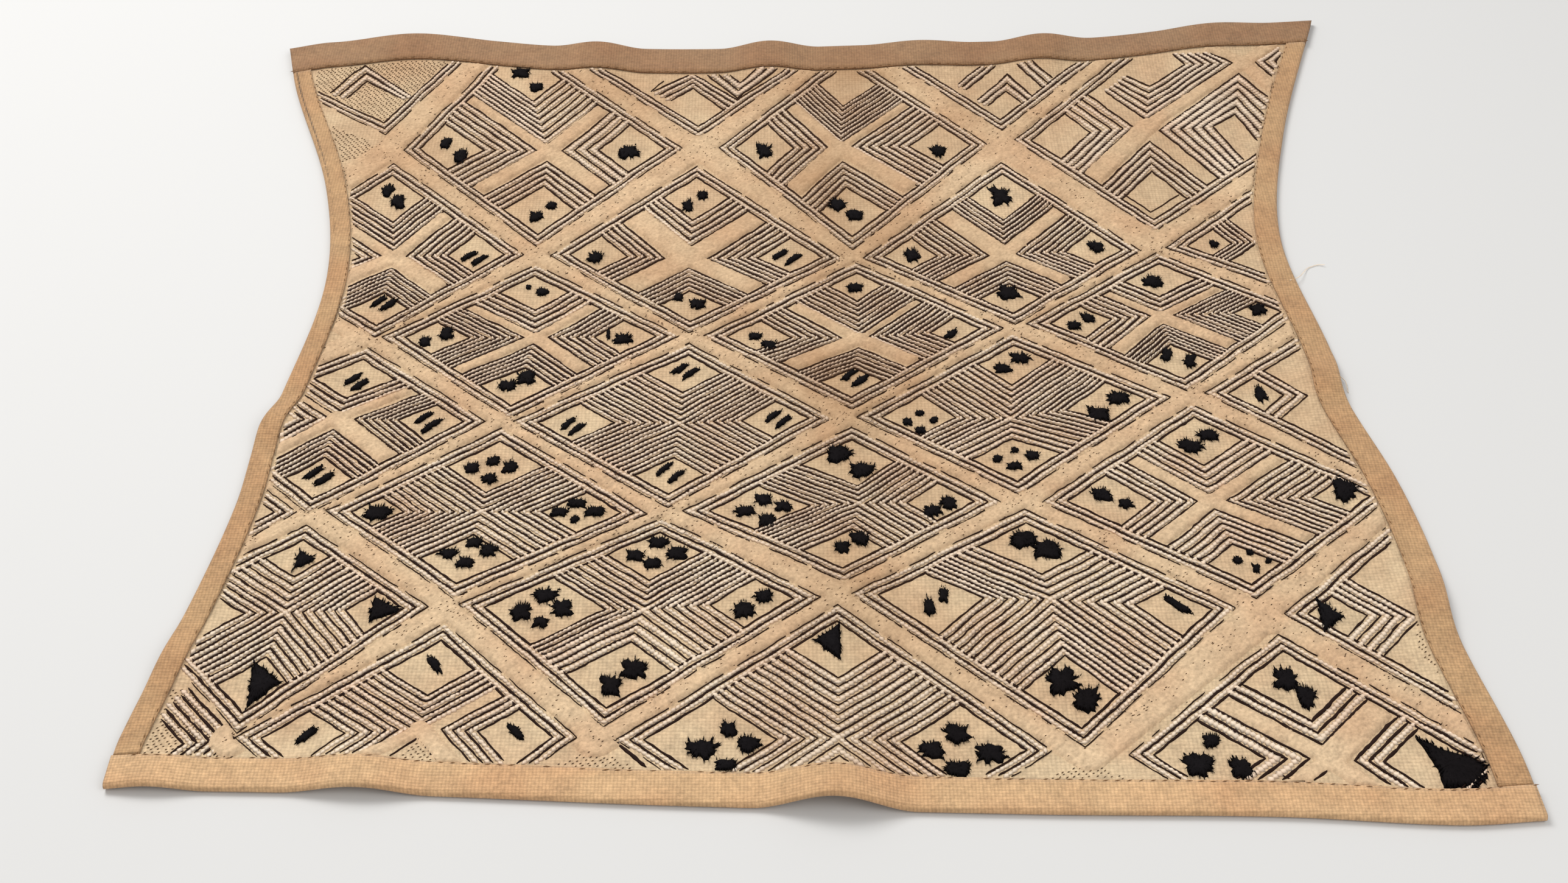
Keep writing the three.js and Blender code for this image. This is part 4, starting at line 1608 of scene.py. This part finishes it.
def age_and_far_shade_group():
    """Handling marks and painted shade: a brown cast down the middle, a brown painted shade that grows
    towards the far edge, where less light falls, and patches.
    """
    tree, given, out = new_group("Age and handling", {"Strength": 1.0}, ["Mask"])
    axes = add_node(tree, "ShaderNodeSeparateXYZ", {"Vector": given["Place"]})
    # Painted shade: browner towards the far edge, where the light is dimmer
    far = map_range(tree, axes.outputs["Y"], low=-0.3, high=0.35)
    across = math_node(tree, "SUBTRACT", axes.outputs["X"], 0.02)
    aside = math_node(tree, "ABSOLUTE", across)
    middle = map_range(tree, aside, low=0.0, high=0.09, to_low=0.55, to_high=0.0)
    cloudy = noise(tree, given["Place"], scale=11.0, detail=3.0)
    patches = map_range(tree, cloudy, low=0.35, high=0.65)
    spread = math_node(tree, "MULTIPLY_ADD", far, 0.8, middle)
    patchy = math_node(tree, "MULTIPLY_ADD", patches, 0.7, 0.3)
    mask = math_node(tree, "MULTIPLY", spread, patchy)
    mask = math_node(tree, "MULTIPLY", mask, given["Strength"], clamp=True)
    tree.links.new(mask, out["Mask"])
    return tree


def patch_group():
    """Soft patches a few centimetres wide, as raffia of different batches gives."""
    tree, given, out = new_group("Tinted patches", {"Scale": 26.0}, ["Mask"])
    cloudy = noise(tree, given["Place"], given["Scale"], detail=2.0)
    tree.links.new(map_range(tree, cloudy, low=0.38, high=0.66), out["Mask"])
    return tree


GROUP_MAKERS = {
    "Plain weave": plain_weave_group,
    "Fibre speckle": fibre_group,
    "Age and handling": age_and_far_shade_group,
    "Tinted patches": patch_group,
}


def use_group(tree, name, inputs):
    group = bpy.data.node_groups.get(name) or GROUP_MAKERS[name]()
    return add_node(tree, "ShaderNodeGroup", inputs, node_tree=group).outputs


PATCH_TINT = paint("#f7ede9")
# A brown for handling marks, also painted as shade towards the far edge
STAIN_AND_SHADE_BROWN = paint("#8a6038")
SPECKLE_SHADE = paint("#9a9a9a")


def aged_and_far_shaded(tree, place, colour, strength):
    """A colour that turns a little pinker and darker in patches, browner with ageing down the middle, and
    browner towards the far edge as painted shade.
    """
    patches = use_group(tree, "Tinted patches", {"Place": place})
    age_and_far_shade = use_group(tree, "Age and handling", {"Place": place, "Strength": strength})
    pink = mix_colour(tree, 1.0, colour, PATCH_TINT, blend="MULTIPLY")
    colour = mix_colour(tree, patches["Mask"], colour, pink)
    return mix_colour(tree, age_and_far_shade["Mask"], colour, STAIN_AND_SHADE_BROWN)


def new_material(name, roughness, sheen=0.0, specular=0.25):
    material = bpy.data.materials.new(name)
    material.use_nodes = True
    tree = material.node_tree
    shader = tree.nodes["Principled BSDF"]
    shader.inputs["Roughness"].default_value = roughness
    shader.inputs["Sheen Weight"].default_value = sheen
    shader.inputs["Specular IOR Level"].default_value = specular
    place = add_node(tree, "ShaderNodeTexCoord").outputs["Object"]
    return material, tree, shader, place


def finish_material(tree, shader, colour, height, depth):
    """Give a shader its colour, and a bump of the given depth in metres."""
    tree.links.new(colour, shader.inputs["Base Color"])
    bump = {"Height": height, "Distance": depth, "Strength": 0.6}
    normal = add_node(tree, "ShaderNodeBump", bump).outputs["Normal"]
    tree.links.new(normal, shader.inputs["Normal"])


def woven_material(name, light, dark, threads, stain_and_far_shade):
    """Plain-woven raffia, with its threads, its fibre and its ageing, and painted shade in the hollows
    between threads and towards the far edge.
    """
    material, tree, shader, place = new_material(name, 0.85, sheen=0.1)
    weave = use_group(tree, "Plain weave", {"Place": place, "Threads Per Metre": threads})
    fibre = use_group(tree, "Fibre speckle", {"Place": place, "Scale": 420.0, "Contrast": 2.8})
    # The dark colour shows as painted shade in the hollows between threads, and in the speckle
    colour = mix_colour(tree, weave["Tone"], dark, light)
    speckle = mix_colour(tree, fibre["Tone"], SPECKLE_SHADE, (1, 1, 1))
    colour = mix_colour(tree, 0.6, colour, speckle, blend="MULTIPLY")
    finish_material(tree, shader, aged_and_far_shaded(tree, place, colour, stain_and_far_shade), weave["Height"], 0.5 * MM)
    return material


def stitched_material(name, light, dark, scale, stain_and_far_shade, roughness=0.8, specular=0.25):
    """Raffia thread whose stitches each have a tone of their own, with fibre, ageing and painted shade
    towards the far edge.
    """
    material, tree, shader, place = new_material(name, roughness, specular=specular)
    own = add_node(tree, "ShaderNodeAttribute", attribute_type="GEOMETRY", attribute_name="tone")
    fibre = use_group(tree, "Fibre speckle", {"Place": place, "Scale": scale, "Contrast": 2.6})
    tone = mix_value(tree, 0.6, own.outputs["Fac"], fibre["Tone"])
    colour = mix_colour(tree, tone, dark, light)
    finish_material(tree, shader, aged_and_far_shaded(tree, place, colour, stain_and_far_shade), fibre["Height"], 0.4 * MM)
    return material


def thread_material(name, light, dark, roughness, scale, contrast, depth):
    """Thread of one colour, with a darker speckle."""
    material, tree, shader, place = new_material(name, roughness)
    fibre = use_group(tree, "Fibre speckle", {"Place": place, "Scale": scale, "Contrast": contrast})
    colour = mix_colour(tree, fibre["Tone"], dark, tuple(light))
    finish_material(tree, shader, colour, fibre["Height"], depth)
    return material


# Settings


def colour_property(title, words, code):
    return bpy.props.FloatVectorProperty(
        name=title, description=words, subtype="COLOR", size=3, min=0, max=1, default=paint(code)
    )


def length_property(title, words, value, **limits):
    return bpy.props.FloatProperty(
        name=title, description=words, unit="LENGTH", default=value, **limits
    )


def share_property(title, words, most):
    return bpy.props.FloatProperty(
        name=title, description=words, subtype="FACTOR", default=1.0, min=0.2, max=most
    )


def power_property(title, words, value):
    return bpy.props.FloatProperty(name=title, description=words, default=value, min=0)


class ClothSettings(bpy.types.PropertyGroup):
    """Sizes and colours of the needlework."""

    pile_height: length_property(
        "Pile height", "How far the cut pile stands over the panel", 1.5 * MM, min=0, max=5 * MM
    )
    tuft_height: length_property(
        "Tuft height", "How far the dark figures stand over the panel", 1.4 * MM, min=0, max=5 * MM
    )
    line_boldness: share_property(
        "Dark line boldness", "Width of the dark stem stitch, as a share of the charted one", 2
    )
    cord_fullness: share_property(
        "Cord fullness", "Width of the pale cords, as a share of the room between lines", 1.5
    )
    ground: colour_property("Ground", "The panel's plain weave", "#e8cca4")
    pile: colour_property("Pile", "The bands of cut pile", "#e8c9a2")
    cord: colour_property("Cord", "The pale cords", "#f7e3ca")
    dark: colour_property("Dark line", "The dark stem stitch", "#1d110d")
    tuft: colour_property("Tuft", "The dark figures", "#0c0a0b")
    strip: colour_property("Side strips", "The folded strips on the side edges", "#d5ab7c")
    # The near strip is the side strips' raffia made lighter, as painted light, and the far strip made
    # darker, as painted shade of the dimmer light at the far edge
    near_strip: colour_property("Near strip", "The folded strip on the near edge", "#eec392")
    far_strip: colour_property("Far strip", "The folded strip on the far edge", "#ad8763")
    seam: colour_property("Seam", "The seams of the strips", "#8a6440")


class StageSettings(bpy.types.PropertyGroup):
    """The camera, the lights and the floor."""

    eye_x: length_property("Camera across", "The camera's place from left to right", -13.5 * MM)
    eye_y: length_property("Camera back", "The camera's place before the middle", -877.3 * MM)
    eye_z: length_property("Camera height", "The camera's height over the floor", 748 * MM)
    pitch: bpy.props.FloatProperty(
        name="Camera pitch", description="How far the camera looks down",
        subtype="ANGLE", default=math.radians(43),
    )
    lens: bpy.props.FloatProperty(
        name="Lens", description="Focal length in millimetres on a 36 mm film",
        default=49.5, min=10, max=200,
    )
    key_power: power_property("Key light", "Power of the large soft light", 36)
    fill_power: power_property("Fill light", "Power of the light on the near side", 13)
    sky: power_property("Surround", "Strength of the even light all round", 0.6)
    floor: colour_property("Floor", "The plain pale floor", "#c9c8c6")


# Operators

FLOOR_REACH = 4.0
FILM_WIDTH = 36
KEY_PLACE = (-0.9, 0.8, 1.7)
KEY_SIZE = 1.1
FILL_PLACE = (1.0, -1.0, 1.5)
FILL_SIZE = 1.3


def add_light(name, place, size, power):
    """A square soft light that shines at the cloth's middle."""
    data = bpy.data.lights.new(name, "AREA")
    data.shape = "SQUARE"
    data.size = size
    data.energy = power
    light = bpy.data.objects.new(name, data)
    light.location = place
    x, y, z = place
    light.rotation_euler = (math.atan2(math.hypot(x, y), z), 0, math.atan2(y, x) + math.pi / 2)
    bpy.context.scene.collection.objects.link(light)


class MakeStage(bpy.types.Operator):
    """Make the floor, the lights and the camera"""

    bl_idname = "raffia_cloth.make_stage"
    bl_label = "Stage"

    def execute(self, context):
        scene = context.scene
        settings = scene.raffia_stage
        far = FLOOR_REACH
        mesh = bpy.data.meshes.new("floor")
        corners = [(-far, -far, 0), (far, -far, 0), (far, far, 0), (-far, far, 0)]
        mesh.from_pydata(corners, [], [(0, 1, 2, 3)])
        floor = bpy.data.objects.new("floor", mesh)
        scene.collection.objects.link(floor)
        material, _, shader, _ = new_material("Plain floor", 0.7)
        shader.inputs["Base Color"].default_value = (*settings.floor, 1)
        mesh.materials.append(material)
        world = bpy.data.worlds.new("Soft surround")
        world.use_nodes = True
        back = world.node_tree.nodes["Background"]
        back.inputs["Color"].default_value = (1, 1, 1, 1)
        back.inputs["Strength"].default_value = settings.sky
        scene.world = world
        add_light("key_light", KEY_PLACE, KEY_SIZE, settings.key_power)
        add_light("fill_light", FILL_PLACE, FILL_SIZE, settings.fill_power)
        camera = bpy.data.objects.new("camera", bpy.data.cameras.new("camera"))
        camera.data.lens = settings.lens
        camera.data.sensor_width = FILM_WIDTH
        camera.location = (settings.eye_x, settings.eye_y, settings.eye_z)
        camera.rotation_euler = (math.pi / 2 - settings.pitch, 0, 0)
        scene.collection.objects.link(camera)
        scene.camera = camera
        scene.view_settings.view_transform = "Standard"
        return {"FINISHED"}


def dress(piece, material, slot, *solids):
    """Give a piece its material, say what it rides on, and hide the solids that it stands for. The slot is
    not used.
    """
    piece.data.materials.append(material)
    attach(piece, "root")
    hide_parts(*solids)


class MakeGround(bpy.types.Operator):
    """Make the panel's plain-woven ground"""

    bl_idname = "raffia_cloth.make_ground"
    bl_label = "Ground"

    def execute(self, context):
        light = context.scene.raffia_cloth.ground
        material = woven_material("Ground raffia", light, shade(light, 0.62), threads=520, stain_and_far_shade=0.55)
        dress(ground_mesh(), material, "embroidered_raffia", "panel")
        return {"FINISHED"}


class MakePile(bpy.types.Operator):
    """Make the bands of cut pile"""

    bl_idname = "raffia_cloth.make_pile"
    bl_label = "Cut pile"

    def execute(self, context):
        settings = context.scene.raffia_cloth
        dark = shade(settings.pile, 0.38)
        material = stitched_material(
            "Cut pile", settings.pile, dark, scale=620, stain_and_far_shade=0.6, roughness=0.9
        )
        piece = pile_mesh(settings.pile_height / MM)
        dress(piece, material, "embroidered_raffia", "panel")
        return {"FINISHED"}


class MakeDarkLines(bpy.types.Operator):
    """Make the dark stem stitch"""

    bl_idname = "raffia_cloth.make_dark_lines"
    bl_label = "Dark stem stitch"

    def execute(self, context):
        settings = context.scene.raffia_cloth
        dark = settings.dark
        worn = shade(dark, 2.2)
        material = stitched_material(
            "Dark raffia thread", worn, dark, scale=420, stain_and_far_shade=0.1, specular=0.08
        )
        piece = dark_line_mesh(settings.line_boldness)
        dress(piece, material, "embroidered_raffia", "panel")
        return {"FINISHED"}


class MakeCords(bpy.types.Operator):
    """Make the pale cords"""

    bl_idname = "raffia_cloth.make_cords"
    bl_label = "Pale cords"

    def execute(self, context):
        settings = context.scene.raffia_cloth
        dark = shade(settings.cord, 0.66)
        material = stitched_material("Pale raffia cord", settings.cord, dark, scale=650, stain_and_far_shade=0.6)
        dress(cord_mesh(settings.cord_fullness), material, "embroidered_raffia", "panel")
        return {"FINISHED"}


class MakeStippling(bpy.types.Operator):
    """Make the rows of tiny stitches on plain ground, and the flecks on the pile"""

    bl_idname = "raffia_cloth.make_stippling"
    bl_label = "Stippling"

    def execute(self, context):
        settings = context.scene.raffia_cloth
        light = shade(settings.seam, 0.6)
        material = stitched_material(
            "Brown raffia thread", light, settings.dark, scale=700, stain_and_far_shade=0.1
        )
        dress(stipple_mesh(), material, "embroidered_raffia", "panel")
        return {"FINISHED"}


class MakeTufts(bpy.types.Operator):
    """Make the dark figures of cut raffia"""

    bl_idname = "raffia_cloth.make_tufts"
    bl_label = "Dark tufts"

    def execute(self, context):
        settings = context.scene.raffia_cloth
        dark = settings.tuft
        pale = shade(dark, 3.0)
        material = stitched_material(
            "Dark cut raffia", pale, dark, scale=600, stain_and_far_shade=0.0, specular=0.04
        )
        piece = tuft_mesh(settings.tuft_height / MM)
        dress(piece, material, "embroidered_raffia", "panel")
        return {"FINISHED"}


# The size that each strip was cut to before it was folded, in metres
STRIP_FLATS = {
    "near": (0.62, 0.037),
    "far": (0.65, 0.058),
    "left": (0.54, 0.027),
    "right": (0.59, 0.033),
}


class MakeStrips(bpy.types.Operator):
    """Make the four folded strips round the edge"""

    bl_idname = "raffia_cloth.make_strips"
    bl_label = "Edge strips"

    def execute(self, context):
        settings = context.scene.raffia_cloth
        materials = {}
        # Painted light and shade: lighter raffia for the near strip and darker for the far strip
        lights = {"Side": settings.strip, "Near": settings.near_strip, "Far": settings.far_strip}
        for kind, light in lights.items():
            name = f"{kind} strip raffia"
            materials[kind] = woven_material(name, light, shade(light, 0.5), threads=620, stain_and_far_shade=0.25)
        for edge, flat in STRIP_FLATS.items():
            piece = strip_mesh(edge)
            material = materials.get(edge.title(), materials["Side"])
            dress(piece, material, "plain_raffia", f"{edge}_strip")
        return {"FINISHED"}


class MakeSewing(bpy.types.Operator):
    """Make the seams that hold the strips down, with the painted shadow along their inner edges"""

    bl_idname = "raffia_cloth.make_sewing"
    bl_label = "Edge sewing"

    def execute(self, context):
        # The seam's brown is partly thread and partly painted shadow along the strips' inner edges
        light = context.scene.raffia_cloth.seam
        dark = shade(light, 0.5)
        material = thread_material(
            "Seam thread", light, dark, roughness=0.8, scale=700.0, contrast=1.5, depth=0.2 * MM
        )
        strips = [f"{edge}_strip" for edge in STRIP_WIDTHS]
        dress(sewing_and_edge_shadow_mesh(), material, "plain_raffia", *strips)
        return {"FINISHED"}


class MakeFibres(bpy.types.Operator):
    """Make the fibres that have come loose from the right edge"""

    bl_idname = "raffia_cloth.make_fibres"
    bl_label = "Loose fibres"

    def execute(self, context):
        light = context.scene.raffia_cloth.cord
        dark = shade(light, 0.6)
        material = thread_material(
            "Loose fibre", light, dark, roughness=0.6, scale=300.0, contrast=2.0, depth=0.1 * MM
        )
        dress(fibre_mesh(), material, "plain_raffia", "right_strip")
        return {"FINISHED"}


OPERATORS = [
    MakeStage, MakeGround, MakePile, MakeDarkLines, MakeCords, MakeStippling, MakeTufts,
    MakeStrips, MakeSewing, MakeFibres,
]


class ClothPanel(bpy.types.Panel):
    """The steps that make the cloth, with its settings"""

    bl_idname = "RAFFIA_PT_cloth"
    bl_label = "Raffia cloth"
    bl_space_type = "VIEW_3D"
    bl_region_type = "UI"
    bl_category = "Raffia cloth"

    def draw(self, context):
        layout = self.layout
        for operator in OPERATORS:
            layout.operator(operator.bl_idname)
        for settings in (context.scene.raffia_cloth, context.scene.raffia_stage):
            box = layout.box()
            for name in settings.__annotations__:
                box.prop(settings, name)


CLASSES = [ClothSettings, StageSettings, *OPERATORS, ClothPanel]


def register():
    for item in CLASSES:
        bpy.utils.register_class(item)
    bpy.types.Scene.raffia_cloth = bpy.props.PointerProperty(type=ClothSettings)
    bpy.types.Scene.raffia_stage = bpy.props.PointerProperty(type=StageSettings)


def unregister():
    del bpy.types.Scene.raffia_stage
    del bpy.types.Scene.raffia_cloth
    for item in reversed(CLASSES):
        bpy.utils.unregister_class(item)


def main():
    register()
    bpy.ops.raffia_cloth.make_stage()
    bpy.ops.raffia_cloth.make_ground()
    bpy.ops.raffia_cloth.make_pile()
    bpy.ops.raffia_cloth.make_dark_lines()
    bpy.ops.raffia_cloth.make_cords()
    bpy.ops.raffia_cloth.make_stippling()
    bpy.ops.raffia_cloth.make_tufts()
    bpy.ops.raffia_cloth.make_strips()
    bpy.ops.raffia_cloth.make_sewing()
    bpy.ops.raffia_cloth.make_fibres()


if __name__ == "__main__":
    main()
